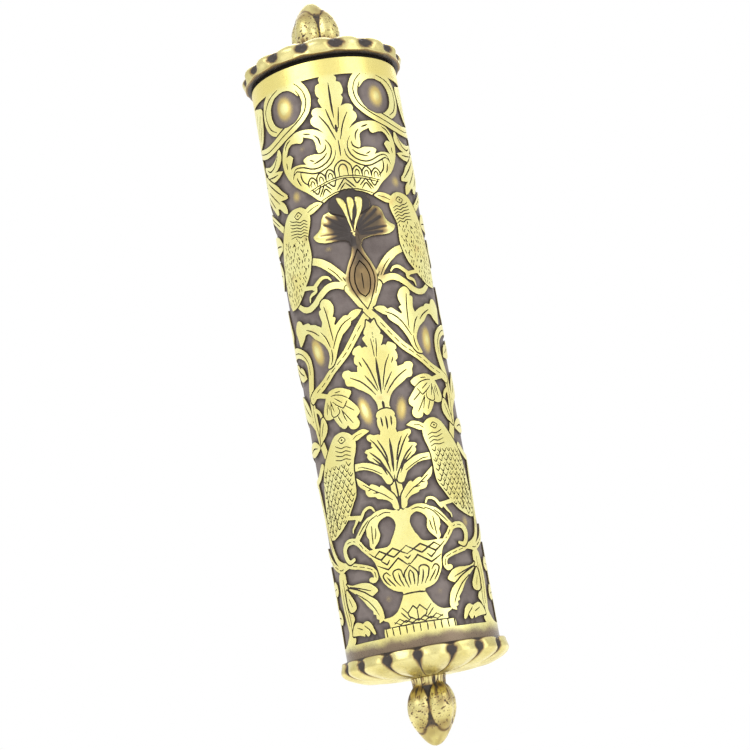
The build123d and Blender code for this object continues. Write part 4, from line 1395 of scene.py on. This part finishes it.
def ring_faces(around, along, outwards, closed):
    """Four-sided faces of a grid that closes round the axis, and along the profile too if that is closed."""
    faces = []
    for i in range(around):
        j = (i + 1) % around
        for k in range(along if closed else along - 1):
            m = (k + 1) % along
            ring = [i * along + k, j * along + k, j * along + m, i * along + m]
            faces.append(ring if outwards else ring[::-1])
    return faces


BUD_BASE = 4.85
BUD_LENGTH = 10.25
PETAL_OFFSET, PETAL_WIDTH, PETAL_MIDDLE = 2.6, 2.45, 3.2
PETAL_REACH_UP, PETAL_REACH_DOWN = 5.3, 4.65
PETALS = 4
LEAN_START = 4.9
SHANK_RADIUS = 2.45
PIT_DEPTH, STEM_GROOVE_DEPTH = 0.06, 0.07
CORE = smooth_path(
    [(-3, 3.6), (-2, 3.25), (-1.1, 3.07), (0, 3.15), (1, 3.35), (3.1, 3.55), (5, 3.5), (6.2, 3.45),
     (6.9, 3.35), (7.4, 3.12), (7.9, 2.85), (8.4, 2.5), (8.9, 2.12), (9.4, 1.68), (9.8, 1.2), (10.1, 0.7),
     (10.25, 0.02)], closed=False)


def bud_radius(turn, height, petal_turns, girth, roughness):
    """The bud's radius at each turn and height over the neck, and how deep that place lies between petals."""
    core = np.interp(height, CORE[:, 0], CORE[:, 1]) * (1 - (1 - girth) * smoothstep(height, -1, 1))
    best = np.zeros(turn.shape)
    for petal in petal_turns:
        gap = (turn - petal + math.pi) % (2 * math.pi) - math.pi
        half_length = np.where(height > PETAL_MIDDLE, PETAL_REACH_UP, PETAL_REACH_DOWN)
        reach = np.clip(1 - ((height - PETAL_MIDDLE) / half_length) ** 2, 0, 1)
        fullness = np.sqrt(reach)
        size = girth * PETAL_WIDTH * fullness
        offset = girth * PETAL_OFFSET * (0.35 + 0.65 * fullness)
        inside = size ** 2 - (offset * np.sin(gap)) ** 2
        found = np.where((inside > 0) & (np.cos(gap) > 0) & (reach > 0),
                         offset * np.cos(gap) + np.sqrt(np.maximum(inside, 0)), 0)
        best = np.maximum(best, found)
    lowered = core - 0.3 * np.exp(-((height - 0.8) / 0.9) ** 2)
    softness = 0.12
    radius = np.logaddexp(lowered / softness, best / softness) * softness
    radius = np.where(height > BUD_LENGTH - 1.5, np.maximum(lowered, best), radius)
    between = np.clip((best - lowered) / 0.4, -1, 1)
    return radius + roughness, between


def build_finial(name, node, side, petal_turn, girth, lean, seed):
    """A cast bud of four petals round a pointed core, on a hammered stem. Its shank is inside the cap."""
    around = 300
    reach = max(abs(corner.z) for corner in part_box(node)) / MM
    stem_length = reach - SEAT_HEIGHT - BUD_BASE - BUD_LENGTH
    heights = np.concatenate([np.linspace(-stem_length, 0, 26)[:-1], np.linspace(0, 9.2, 88)[:-1],
                              BUD_LENGTH - 1.05 * np.cos(np.linspace(0, math.pi / 2, 14)) ** 2])
    turns = 2 * math.pi * np.arange(around) / around
    turn, height = np.meshgrid(turns, heights, indexing="ij")
    petals = [math.radians(petal_turn) + number * 2 * math.pi / PETALS for number in range(PETALS)]
    arc = turn * 3.2
    rough = 0.035 * value_noise(arc, height, 1.0, seed) + 0.02 * value_noise(arc, height, 0.35, seed + 1)
    seam_noise = np.abs(value_noise(turn * 3.2, height * 0.22, 0.42, seed + 2))
    on_stem = 1 - smoothstep(height, -0.6, 0.2)
    rough = rough - STEM_GROOVE_DEPTH * on_stem * (1 - smoothstep(seam_noise, 0, 0.35))
    rough *= 1 - smoothstep(height, BUD_LENGTH - 0.6, BUD_LENGTH)
    radius, between = bud_radius(turn, height, petals, girth, rough)
    pits = value_noise(arc, height, 0.24, seed + 3)
    in_body = smoothstep(height, 0.6, 1.6) * (1 - smoothstep(height, 6.4, 7.6))
    pit = smoothstep(pits, 0.5, 0.85) * in_body
    radius -= PIT_DEPTH * pit
    foot_height = 0.9 - BUD_BASE - stem_length
    shank = np.array([(SHANK_RADIUS, -stem_length - 0.15), (SHANK_RADIUS, 3.5 - BUD_BASE - stem_length),
                      (SHANK_RADIUS, foot_height), (0.02, foot_height)])
    foot = np.repeat(shank[None, ::-1, :], around, axis=0)
    radius = np.concatenate([foot[:, :, 0], radius], axis=1)
    height = np.concatenate([foot[:, :, 1], height], axis=1)
    extra = len(shank)
    over_seat = height + BUD_BASE + stem_length
    bend = np.maximum(over_seat - LEAN_START, 0) * math.tan(math.radians(lean))
    full_turn = turns[:, None] + 0 * radius
    x = radius * np.sin(full_turn) + bend
    y = -radius * np.cos(full_turn)
    points = np.stack([x, y, side * (SEAT_HEIGHT + over_seat)], axis=-1).reshape(-1, 3) * MM
    along = height.shape[1]
    faces = ring_faces(around, along, side > 0, closed=False)
    ends = [[i * along for i in range(around)], [i * along + along - 1 for i in range(around)]]
    faces.append(ends[0][::-1] if side > 0 else ends[0])
    faces.append(ends[1] if side > 0 else ends[1][::-1])
    body = height[:, extra:]
    gap = smoothstep(-between, -0.6, 0.0) * smoothstep(body, -0.8, 0.2) * (1 - smoothstep(body, 6.4, 7.4))
    gap = gap * (0.72 + 0.25 * (1 - smoothstep(body, 1.2, 2.6)) + 0.2 * value_noise(arc, body, 0.5, seed + 6))
    to_seam = np.abs((turn - petals[0]) % (math.pi / 2) - math.pi / 4) * 4.4
    notch = smoothstep(1 - body / 2 - to_seam, -0.3, 0.2) * smoothstep(body, -0.7, -0.2)
    wedge = smoothstep(0.32 * (body - 3.6) - to_seam, -0.25, 0.15) * (1 - smoothstep(body, 6.3, 7.3))
    gap = np.maximum(gap, np.maximum(0.95 * notch, 0.8 * wedge))
    petal_end = 0.45 * np.exp(-((between - 0.1) / 0.4) ** 2) * smoothstep(body, 6.2, 6.8) * (body < 8.2)
    smear = smoothstep(value_noise(arc, body * 0.16, 0.24, seed + 8), 0.0, 0.7)
    smear = smear * (1 - smoothstep(body, 0.6, 2.8))
    collar = np.exp(-((body + 0.3) / 0.6) ** 2) * (0.5 + 0.4 * value_noise(arc, body, 0.9, seed + 4))
    collar = np.maximum(collar, 0.8 * smear)
    lines = on_stem * (1 - smoothstep(seam_noise, 0, 0.2)) * 0.5
    film = 0.21 + 0.16 * value_noise(arc, body, 1.3, seed + 7)
    dark = np.clip(np.maximum(film, gap) + collar * 0.75 + petal_end + lines + 0.75 * pit, 0, 1)
    dark = np.concatenate([np.full((around, extra), 0.4), dark], axis=1)
    pitted = np.concatenate([np.zeros((around, extra)), in_body * 0.9], axis=1)
    return build_plain_mesh(name, points, faces, {"dark": dark.ravel(), "pitted": pitted.ravel()})


# ---------------------------------------------------------------- the scroll, its wrapper and ribbons

EDGE_UNEVENNESS = 0.25
RIBBON_RADIUS, RIBBON_WIDTH = 5.97, 3.0


def roll_path(inner_radius, step, half_turns):
    """The rolled sheet's inner line: half circles whose radius grows, about two centres."""
    path = []
    for number in range(half_turns):
        radius = inner_radius + step * number
        centre = step * (number % 2)
        start = math.pi * (number % 2)
        for turn in np.linspace(start, start + math.pi, 40)[(1 if number else 0):]:
            x, y = math.cos(turn), math.sin(turn)
            path.append((centre + radius * x, radius * y, x, y))
    return np.array(path)


def build_roll(name, node, inner_radius, thickness, step, half_turns, seed):
    """A rolled sheet with slightly uneven edges."""
    low, high = (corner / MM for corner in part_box(node))
    path = roll_path(inner_radius, step, half_turns)
    levels = np.linspace(0, 1, 60)
    along = np.concatenate([[0], np.cumsum(np.hypot(*np.diff(path[:, :2], axis=0).T))])
    a, t = np.meshgrid(along, levels, indexing="ij")
    edge = EDGE_UNEVENNESS * (1 + value_noise(a, t * 0, 4.0, seed)) * (np.abs(t - 0.5) * 2) ** 40
    z = low.z + (high.z - low.z) * t - np.sign(t - 0.5) * edge
    layers = []
    for depth in (0.0, thickness):
        x = path[:, 0][:, None] + path[:, 2][:, None] * depth + 0 * t
        y = path[:, 1][:, None] + path[:, 3][:, None] * depth + 0 * t
        layers.append(np.stack([x, y, z], axis=-1).reshape(-1, 3))
    count, height = len(path), len(levels)
    points = np.concatenate(layers) * MM
    far = count * height
    faces = []
    for i in range(count - 1):
        for k in range(height - 1):
            here, right = i * height + k, (i + 1) * height + k
            faces.append([here, here + 1, right + 1, right])
            faces.append([far + here, far + right, far + right + 1, far + here + 1])
        for k, order in ((0, 1), (height - 1, -1)):
            here, right = i * height + k, (i + 1) * height + k
            faces.append([here, right, far + right, far + here][::order])
    for i, order in ((0, 1), (count - 1, -1)):
        for k in range(height - 1):
            here = i * height + k
            faces.append([here, far + here, far + here + 1, here + 1][::order])
    return build_plain_mesh(name, points, faces, {})


def build_ribbons(name, node):
    """Two flat ribbons round the roll, with thicker edges and a slight sway."""
    low, high = (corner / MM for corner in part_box(node))
    points, faces = [], []
    around = 96
    profile = [(0.0, -0.5), (0.36, -0.5), (0.38, -0.42), (0.33, -0.2), (0.34, 0.0), (0.33, 0.2), (0.38, 0.42),
               (0.36, 0.5), (0.0, 0.5)]
    for middle in (low.z + RIBBON_WIDTH / 2, high.z - RIBBON_WIDTH / 2):
        base = len(points)
        for i in range(around):
            turn = 2 * math.pi * i / around
            sway = 0.12 * math.sin(3 * turn) + 0.08 * math.sin(5 * turn + 1)
            for depth, share in profile:
                r = RIBBON_RADIUS + depth
                height = middle + share * RIBBON_WIDTH * 0.97 + sway * 0.3
                points.append((r * math.sin(turn), -r * math.cos(turn), height))
        for i in range(around):
            j = (i + 1) % around
            here, right = base + i * len(profile), base + j * len(profile)
            for k in range(len(profile)):
                m = (k + 1) % len(profile)
                faces.append([here + m, right + m, right + k, here + k])
    return build_plain_mesh(name, np.array(points) * MM, faces, {})


# ---------------------------------------------------------------- materials

class Nodes:
    """A material's node tree, with short calls for the nodes that are used here."""

    def __init__(self, name):
        self.material = bpy.data.materials.new(name)
        self.material.use_nodes = True
        self.tree = self.material.node_tree
        self.shader = self.tree.nodes["Principled BSDF"]
        self.place = self.tree.nodes.new("ShaderNodeTexCoord").outputs["Object"]

    def join(self, value, socket):
        if isinstance(value, bpy.types.NodeSocket):
            self.tree.links.new(value, socket)
        else:
            socket.default_value = value

    def set(self, **values):
        for name, value in values.items():
            self.join(value, self.shader.inputs[name.replace("_", " ")])

    def attribute(self, name):
        node = self.tree.nodes.new("ShaderNodeAttribute")
        node.attribute_name = name
        return node.outputs["Fac"]

    def math(self, operation, first, second):
        node = self.tree.nodes.new("ShaderNodeMath")
        node.operation = operation
        self.join(first, node.inputs[0])
        self.join(second, node.inputs[1])
        return node.outputs[0]

    def noise(self, size, detail=3.0, rough=0.55, stretch=(1, 1, 1)):
        """Noise whose features are about size millimetres wide."""
        mapping = self.tree.nodes.new("ShaderNodeMapping")
        mapping.inputs["Scale"].default_value = stretch
        self.join(self.place, mapping.inputs["Vector"])
        node = self.tree.nodes.new("ShaderNodeTexNoise")
        node.inputs["Scale"].default_value = 1 / (size * MM)
        node.inputs["Detail"].default_value = detail
        node.inputs["Roughness"].default_value = rough
        self.join(mapping.outputs[0], node.inputs["Vector"])
        return node.outputs["Fac"]

    def range(self, value, low, high, new_low=0.0, new_high=1.0):
        node = self.tree.nodes.new("ShaderNodeMapRange")
        node.interpolation_type = "SMOOTHSTEP"
        self.join(value, node.inputs["Value"])
        limits = {"From Min": low, "From Max": high, "To Min": new_low, "To Max": new_high}
        for name, number in limits.items():
            self.join(number, node.inputs[name])
        return node.outputs["Result"]

    def mix(self, share, first, second):
        """A colour between two colours."""
        node = self.tree.nodes.new("ShaderNodeMix")
        node.data_type = "RGBA"
        self.join(share, node.inputs["Factor"])
        for value, socket in ((first, node.inputs[6]), (second, node.inputs[7])):
            self.join(value if isinstance(value, bpy.types.NodeSocket) else (*value, 1), socket)
        return node.outputs[2]

    def bump(self, height, distance, strength):
        node = self.tree.nodes.new("ShaderNodeBump")
        node.inputs["Distance"].default_value = distance * MM
        node.inputs["Strength"].default_value = strength
        self.join(height, node.inputs["Height"])
        return node.outputs["Normal"]

    def height(self):
        """The place's height in the object's own frame, in metres."""
        node = self.tree.nodes.new("ShaderNodeSeparateXYZ")
        self.join(self.place, node.inputs[0])
        return node.outputs["Z"]


BRIGHT_BRASS = (0.92, 0.83, 0.31)
PALE_BRASS = (0.97, 0.93, 0.42)
BAND_BRASS = (0.91, 0.77, 0.24)
RED_BRASS = (0.80, 0.52, 0.20)
OLD_BRASS = (0.36, 0.25, 0.115)
AMBER_BRASS = (0.62, 0.48, 0.17)
CHARCOAL = (0.048, 0.038, 0.033)
UMBER = (0.115, 0.062, 0.028)
GROUND_GREY = (0.219, 0.185, 0.171)
GROUND_DARK = (0.138, 0.112, 0.105)
HEAT_BROWN = (0.135, 0.080, 0.078)
LINE_DARK = (0.030, 0.022, 0.009)


def patina_colour(nodes, metal, dark):
    """Patina over bright metal: the metal browns first and then turns to charcoal."""
    browned = nodes.mix(nodes.range(dark, 0.06, 0.55), metal, OLD_BRASS)
    return nodes.mix(nodes.range(dark, 0.42, 0.92), browned, CHARCOAL)


def polished_material():
    """The tube's untouched level: bright brass, with a heat-stained band round the lower end."""
    nodes = Nodes("polished_brass")
    cloud = nodes.range(nodes.noise(7.0, 4), 0.35, 0.7)
    fine = nodes.noise(0.5, 3, 0.6)
    metal = nodes.mix(cloud, BRIGHT_BRASS, PALE_BRASS)
    blush = nodes.range(nodes.noise(3.0, 3), 0.62, 0.78, 0.0, 0.45)
    metal = nodes.mix(blush, metal, RED_BRASS)
    band_low = TUBE_BOTTOM + TOP_BAND
    upper_band = nodes.range(nodes.height(), (band_low - 0.8) * MM, (band_low + 0.6) * MM)
    metal = nodes.mix(nodes.math("MULTIPLY", upper_band, 0.8), metal, BAND_BRASS)
    band_top = (TUBE_BOTTOM + 2.9) * MM
    wobble = nodes.range(nodes.noise(4.0, 3), 0.2, 0.8, -0.5 * MM, 0.5 * MM)
    stained = nodes.range(nodes.math("ADD", nodes.height(), wobble), band_top, band_top - 1.9 * MM)
    speck = nodes.range(nodes.noise(0.22, 2, 0.5), 0.70, 0.76, 0.0, 0.5)
    dark = nodes.math("MAXIMUM", nodes.attribute("dark"), nodes.math("MULTIPLY", speck, 0.5))
    colour = patina_colour(nodes, metal, dark)
    colour = nodes.mix(nodes.math("MULTIPLY", stained, 0.9), colour, HEAT_BROWN)
    rough = nodes.math("ADD", nodes.range(fine, 0.2, 0.8, 0.24, 0.34), nodes.range(dark, 0.1, 0.8, 0.0, 0.2))
    metallic = nodes.math("MULTIPLY", nodes.range(dark, 0.45, 0.95, 1.0, 0.3),
                          nodes.range(stained, 0.0, 1.0, 1.0, 0.55))
    scratch = nodes.noise(0.35, 2, 0.5, (1, 1, 0.12))
    nodes.set(Base_Color=colour, Metallic=metallic, Roughness=rough,
              Normal=nodes.bump(nodes.math("ADD", nodes.math("MULTIPLY", fine, 0.6), scratch), 0.012, 0.5))
    return nodes.material


def ground_material():
    """The etched ground: a grey-purple patina, blackened by painted shadow and shade and by patina in the
    lines, and rubbed to amber metal on the domes.
    """
    nodes = Nodes("etched_ground")
    cloud = nodes.range(nodes.noise(4.0, 4), 0.3, 0.7)
    grain = nodes.noise(0.16, 4, 0.7)
    colour = nodes.mix(cloud, GROUND_DARK, GROUND_GREY)
    colour = nodes.mix(nodes.range(grain, 0.3, 0.75, 0.0, 0.5), colour, GROUND_GREY)
    # Painted shadow and shade, with patina in the lines, darken the ground towards charcoal
    colour = nodes.mix(nodes.math("MULTIPLY", nodes.attribute("shadow_and_patina"), 0.75), colour, CHARCOAL)
    worn = nodes.math("ADD", nodes.attribute("rubbed"), nodes.range(grain, 0.2, 0.8, -0.08, 0.08))
    colour = nodes.mix(nodes.range(worn, 0.08, 0.55), colour, AMBER_BRASS)
    colour = nodes.mix(nodes.range(worn, 0.5, 1.0), colour, PALE_BRASS)
    nodes.set(Base_Color=colour, Metallic=nodes.range(worn, 0.1, 0.7, 0.3, 0.95), Specular_IOR_Level=0.18,
              Roughness=nodes.range(worn, 0.1, 0.9, 0.6, 0.36), Normal=nodes.bump(grain, 0.03, 0.6))
    return nodes.material


def wall_material():
    """The etched sides, where the black patina stays."""
    nodes = Nodes("etched_side")
    grain = nodes.noise(0.2, 3, 0.6)
    nodes.set(Base_Color=nodes.mix(nodes.range(grain, 0.35, 0.75), LINE_DARK, UMBER), Metallic=0.3,
              Roughness=0.6, Normal=nodes.bump(grain, 0.02, 0.5))
    return nodes.material


def inner_material():
    """Brass that is hardly ever touched: inside the tube, on its ends and on the fittings."""
    nodes = Nodes("plain_brass")
    cloud = nodes.range(nodes.noise(5.0, 4), 0.3, 0.7)
    turned = nodes.noise(0.3, 2, 0.5, (0.25, 0.25, 4))
    colour = nodes.mix(cloud, (0.62, 0.42, 0.15), (0.78, 0.57, 0.24))
    tarnish = nodes.range(nodes.noise(1.4, 5, 0.65), 0.5, 0.72, 0.0, 0.6)
    colour = nodes.mix(tarnish, colour, (0.26, 0.17, 0.08))
    nodes.set(Base_Color=colour, Metallic=1.0, Roughness=nodes.range(tarnish, 0.0, 0.6, 0.3, 0.5),
              Normal=nodes.bump(turned, 0.02, 0.5))
    return nodes.material


def collar_material():
    """The lid's collar: its shoulder is painted black as the shade in the gap under the cap, and the push fit
    has rubbed the rest brown.
    """
    nodes = Nodes("collar_brass_painted_shade")
    # Painted shade: the shoulder is nearly black so that the gap under the cap looks dark
    shoulder = nodes.range(nodes.height(), (SEAT_HEIGHT - 1.3) * MM, (SEAT_HEIGHT - 0.9) * MM)
    streaks = nodes.range(nodes.noise(0.3, 3, 0.6, (1, 1, 0.06)), 0.3, 0.75)
    metal = nodes.mix(streaks, (0.60, 0.47, 0.19), (0.76, 0.62, 0.28))
    nodes.set(Base_Color=nodes.mix(shoulder, metal, (0.012, 0.009, 0.006)),
              Metallic=nodes.range(shoulder, 0, 1, 1.0, 0.1), Roughness=nodes.range(streaks, 0, 1, 0.5, 0.36),
              Specular_IOR_Level=0.1, Normal=nodes.bump(streaks, 0.02, 0.5))
    return nodes.material


def cast_material():
    """Cast brass: darker in the dimples, grooves and pits and where shade is painted inside the caps, and
    yellower than the sheet.
    """
    nodes = Nodes("cast_brass")
    cloud = nodes.range(nodes.noise(3.2, 4), 0.3, 0.7)
    metal = nodes.mix(cloud, (0.66, 0.57, 0.22), (0.82, 0.74, 0.34))
    speck = nodes.range(nodes.noise(0.24, 3, 0.6), 0.60, 0.68)
    pits = nodes.math("MULTIPLY", speck, nodes.attribute("pitted"))
    film = nodes.range(nodes.noise(1.1, 4, 0.6), 0.5, 0.85, 0.0, 0.22)
    dark = nodes.math("MAXIMUM", nodes.attribute("dark"), nodes.math("MAXIMUM", pits, film))
    fine = nodes.noise(0.3, 3, 0.6)
    rough = nodes.math("ADD", nodes.range(fine, 0.2, 0.8, 0.25, 0.37), nodes.range(dark, 0.1, 0.8, 0.0, 0.22))
    height = nodes.math("SUBTRACT", nodes.math("MULTIPLY", fine, 0.4), pits)
    nodes.set(Base_Color=patina_colour(nodes, metal, dark), Metallic=nodes.range(dark, 0.45, 0.95, 1.0, 0.25),
              Roughness=rough, Normal=nodes.bump(height, 0.03, 0.7))
    return nodes.material


def parchment_material():
    nodes = Nodes("parchment")
    fibre = nodes.noise(0.5, 6, 0.7, (1, 1, 0.3))
    blotch = nodes.range(nodes.noise(9.0, 4), 0.35, 0.7)
    colour = nodes.mix(blotch, (0.72, 0.60, 0.40), (0.83, 0.74, 0.55))
    colour = nodes.mix(nodes.range(fibre, 0.5, 0.75, 0.0, 0.35), colour, (0.55, 0.42, 0.25))
    nodes.set(Base_Color=colour, Roughness=nodes.range(fibre, 0.2, 0.8, 0.5, 0.68),
              Normal=nodes.bump(fibre, 0.04, 0.5))
    return nodes.material


def woven_material(name, thread, first, second, shine):
    """A plain weave: threads round the roll and along it, from two crossed waves."""
    nodes = Nodes(name)
    waves = []
    for axis in ("X", "Z"):
        wave = nodes.tree.nodes.new("ShaderNodeTexWave")
        wave.bands_direction = axis
        wave.inputs["Scale"].default_value = 0.314 / (thread * MM)
        wave.inputs["Distortion"].default_value = 0.6
        wave.inputs["Detail"].default_value = 1.0
        nodes.join(nodes.place, wave.inputs["Vector"])
        waves.append(wave.outputs["Fac"])
    weave = nodes.math("MULTIPLY", waves[0], waves[1])
    slub = nodes.noise(1.2, 3, 0.6, (1, 1, 0.15))
    colour = nodes.mix(nodes.range(weave, 0.1, 0.8), second, first)
    colour = nodes.mix(nodes.range(slub, 0.45, 0.8, 0.0, 0.4), colour, second)
    nodes.set(Base_Color=colour, Roughness=nodes.range(weave, 0, 1, 0.85 - shine, 0.7 - shine),
              Sheen_Weight=0.3, Normal=nodes.bump(weave, 0.05, 0.6))
    return nodes.material


# ---------------------------------------------------------------- the pieces

plain_brass = inner_material()
painted_shade_collar = collar_material()
cast_brass = cast_material()


def finish_piece(piece, body, node, slot, *materials):
    """Puts a piece on its body in place of its CAD node, with its materials."""
    for material in materials:
        piece.data.materials.append(material)
    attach(piece, body)
    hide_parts(node)


tube = build_tube()
finish_piece(tube, "case", "tube", "etched_brass",
             polished_material(), ground_material(), wall_material(), plain_brass)
for prefix, body, side, grooves, dimple_size, petal_turn, girth, lean, seed in (
        ("bottom", "case", -1, BOTTOM_GROOVES, BOTTOM_DIMPLE, 37, 0.975, -3.0, 40),
        ("top", "lid", 1, TOP_GROOVES, TOP_DIMPLE, -30, 1.0, 0.0, 60)):
    cap = build_cap(f"{prefix}_cap_casting", side, grooves, dimple_size, seed)
    finish_piece(cap, body, f"{prefix}_cap", "cast_brass", cast_brass)
    bud = build_finial(f"{prefix}_bud_casting", f"{prefix}_finial", side, petal_turn, girth, lean, seed + 5)
    finish_piece(bud, body, f"{prefix}_finial", "cast_brass", cast_brass)

CAD_PIECES = ("seam_strip", "bottom_collar", "bottom_washer", "bottom_nut",
              "top_collar", "top_washer", "top_nut")
for node in CAD_PIECES:
    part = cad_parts[node]
    part.data.materials.clear()
    # The top collar takes the brass with painted shade on its shoulder
    part.data.materials.append(painted_shade_collar if node == "top_collar" else plain_brass)

parchment = build_roll("parchment_roll", "parchment_scroll", 3.15, 0.3, 0.225, 8, 81)
finish_piece(parchment, "scroll", "parchment_scroll", "parchment", parchment_material())
wrap = build_roll("linen_wrap", "scroll_wrap", 5.35, 0.2, 0.15, 3, 91)
finish_piece(wrap, "scroll", "scroll_wrap", "linen",
             woven_material("linen", 0.5, (0.80, 0.76, 0.66), (0.52, 0.47, 0.38), 0.0))
ribbons = build_ribbons("tied_ribbons", "scroll_ribbons")
finish_piece(ribbons, "scroll", "scroll_ribbons", "ribbon",
             woven_material("ribbon", 0.35, (0.10, 0.16, 0.42), (0.05, 0.08, 0.25), 0.25))


# ---------------------------------------------------------------- floor, lights and camera

FLOOR_GAP = 1.2 * MM


def build_floor():
    """A plain pale floor, just under the object and under the camera."""
    low, _ = cad_box
    bpy.ops.mesh.primitive_plane_add(size=6.0, location=(0, 0, low.z - FLOOR_GAP))
    floor = bpy.context.object
    floor.name = "floor"
    nodes = Nodes("pale_floor")
    nodes.set(Base_Color=(0.96, 0.96, 0.96, 1), Roughness=0.9, Specular_IOR_Level=0.0,
              Emission_Color=(1, 1, 1, 1), Emission_Strength=0.12)
    floor.data.materials.append(nodes.material)


def add_light(name, place, size, power, target=(0, 0, 0)):
    """A square soft light that points at the target. Power is in watts, and lengths are in metres."""
    data = bpy.data.lights.new(name, "AREA")
    data.energy = power
    data.shape = "RECTANGLE"
    data.size, data.size_y = size
    light = bpy.data.objects.new(name, data)
    light.location = place
    light.rotation_euler = (Vector(target) - Vector(place)).to_track_quat("-Z", "Y").to_euler()
    bpy.context.scene.collection.objects.link(light)


TENT_FRONT, TENT_SIDE = 0.97, 0.87


def build_lights():
    """A white tent with darker sides, which give the round brass its edges, and three soft lights."""
    world = bpy.data.worlds.new("tent")
    world.use_nodes = True
    tree = world.node_tree
    direction = tree.nodes.new("ShaderNodeTexCoord").outputs["Generated"]
    parts = tree.nodes.new("ShaderNodeSeparateXYZ")
    tree.links.new(direction, parts.inputs[0])
    sideways = tree.nodes.new("ShaderNodeMath")
    sideways.operation = "ABSOLUTE"
    tree.links.new(parts.outputs["X"], sideways.inputs[0])
    shade = tree.nodes.new("ShaderNodeMapRange")
    shade.interpolation_type = "SMOOTHSTEP"
    for name, value in (("From Min", 0.5), ("From Max", 0.95), ("To Min", TENT_FRONT), ("To Max", TENT_SIDE)):
        shade.inputs[name].default_value = value
    tree.links.new(sideways.outputs[0], shade.inputs["Value"])
    seen = tree.nodes.new("ShaderNodeLightPath").outputs["Is Camera Ray"]
    strength = tree.nodes.new("ShaderNodeMix")
    tree.links.new(seen, strength.inputs["Factor"])
    tree.links.new(shade.outputs["Result"], strength.inputs[2])
    strength.inputs[3].default_value = 1.0
    background = tree.nodes["Background"]
    background.inputs["Color"].default_value = (1, 1, 1, 1)
    tree.links.new(strength.outputs[0], background.inputs["Strength"])
    bpy.context.scene.world = world
    add_light("key", (-0.35, -0.55, 0.45), (0.5, 0.5), 1.5)
    add_light("fill", (0.55, -0.45, 0.1), (0.4, 0.6), 0.9)
    add_light("back", (0.1, 0.6, 0.5), (0.6, 0.4), 2.0)


CAMERA_PLACE = (0.0, -0.34736, -0.07287)
CAMERA_PITCH, CAMERA_ROLL = 11.3, -10.015
CAMERA_LENS, SENSOR_WIDTH = 91.3, 36


def build_camera():
    """The camera, a little below the object and leaning, as the case lies slanting in the picture."""
    data = bpy.data.cameras.new("camera")
    data.sensor_width = SENSOR_WIDTH
    data.lens = CAMERA_LENS
    camera = bpy.data.objects.new("camera", data)
    pitch = Matrix.Rotation(math.radians(90 + CAMERA_PITCH), 4, "X")
    roll = Matrix.Rotation(math.radians(CAMERA_ROLL), 4, "Z")
    camera.matrix_world = Matrix.Translation(CAMERA_PLACE) @ (pitch @ roll)
    bpy.context.scene.collection.objects.link(camera)
    bpy.context.scene.camera = camera


build_floor()
build_lights()
build_camera()
bpy.context.scene.view_settings.view_transform = "Standard"
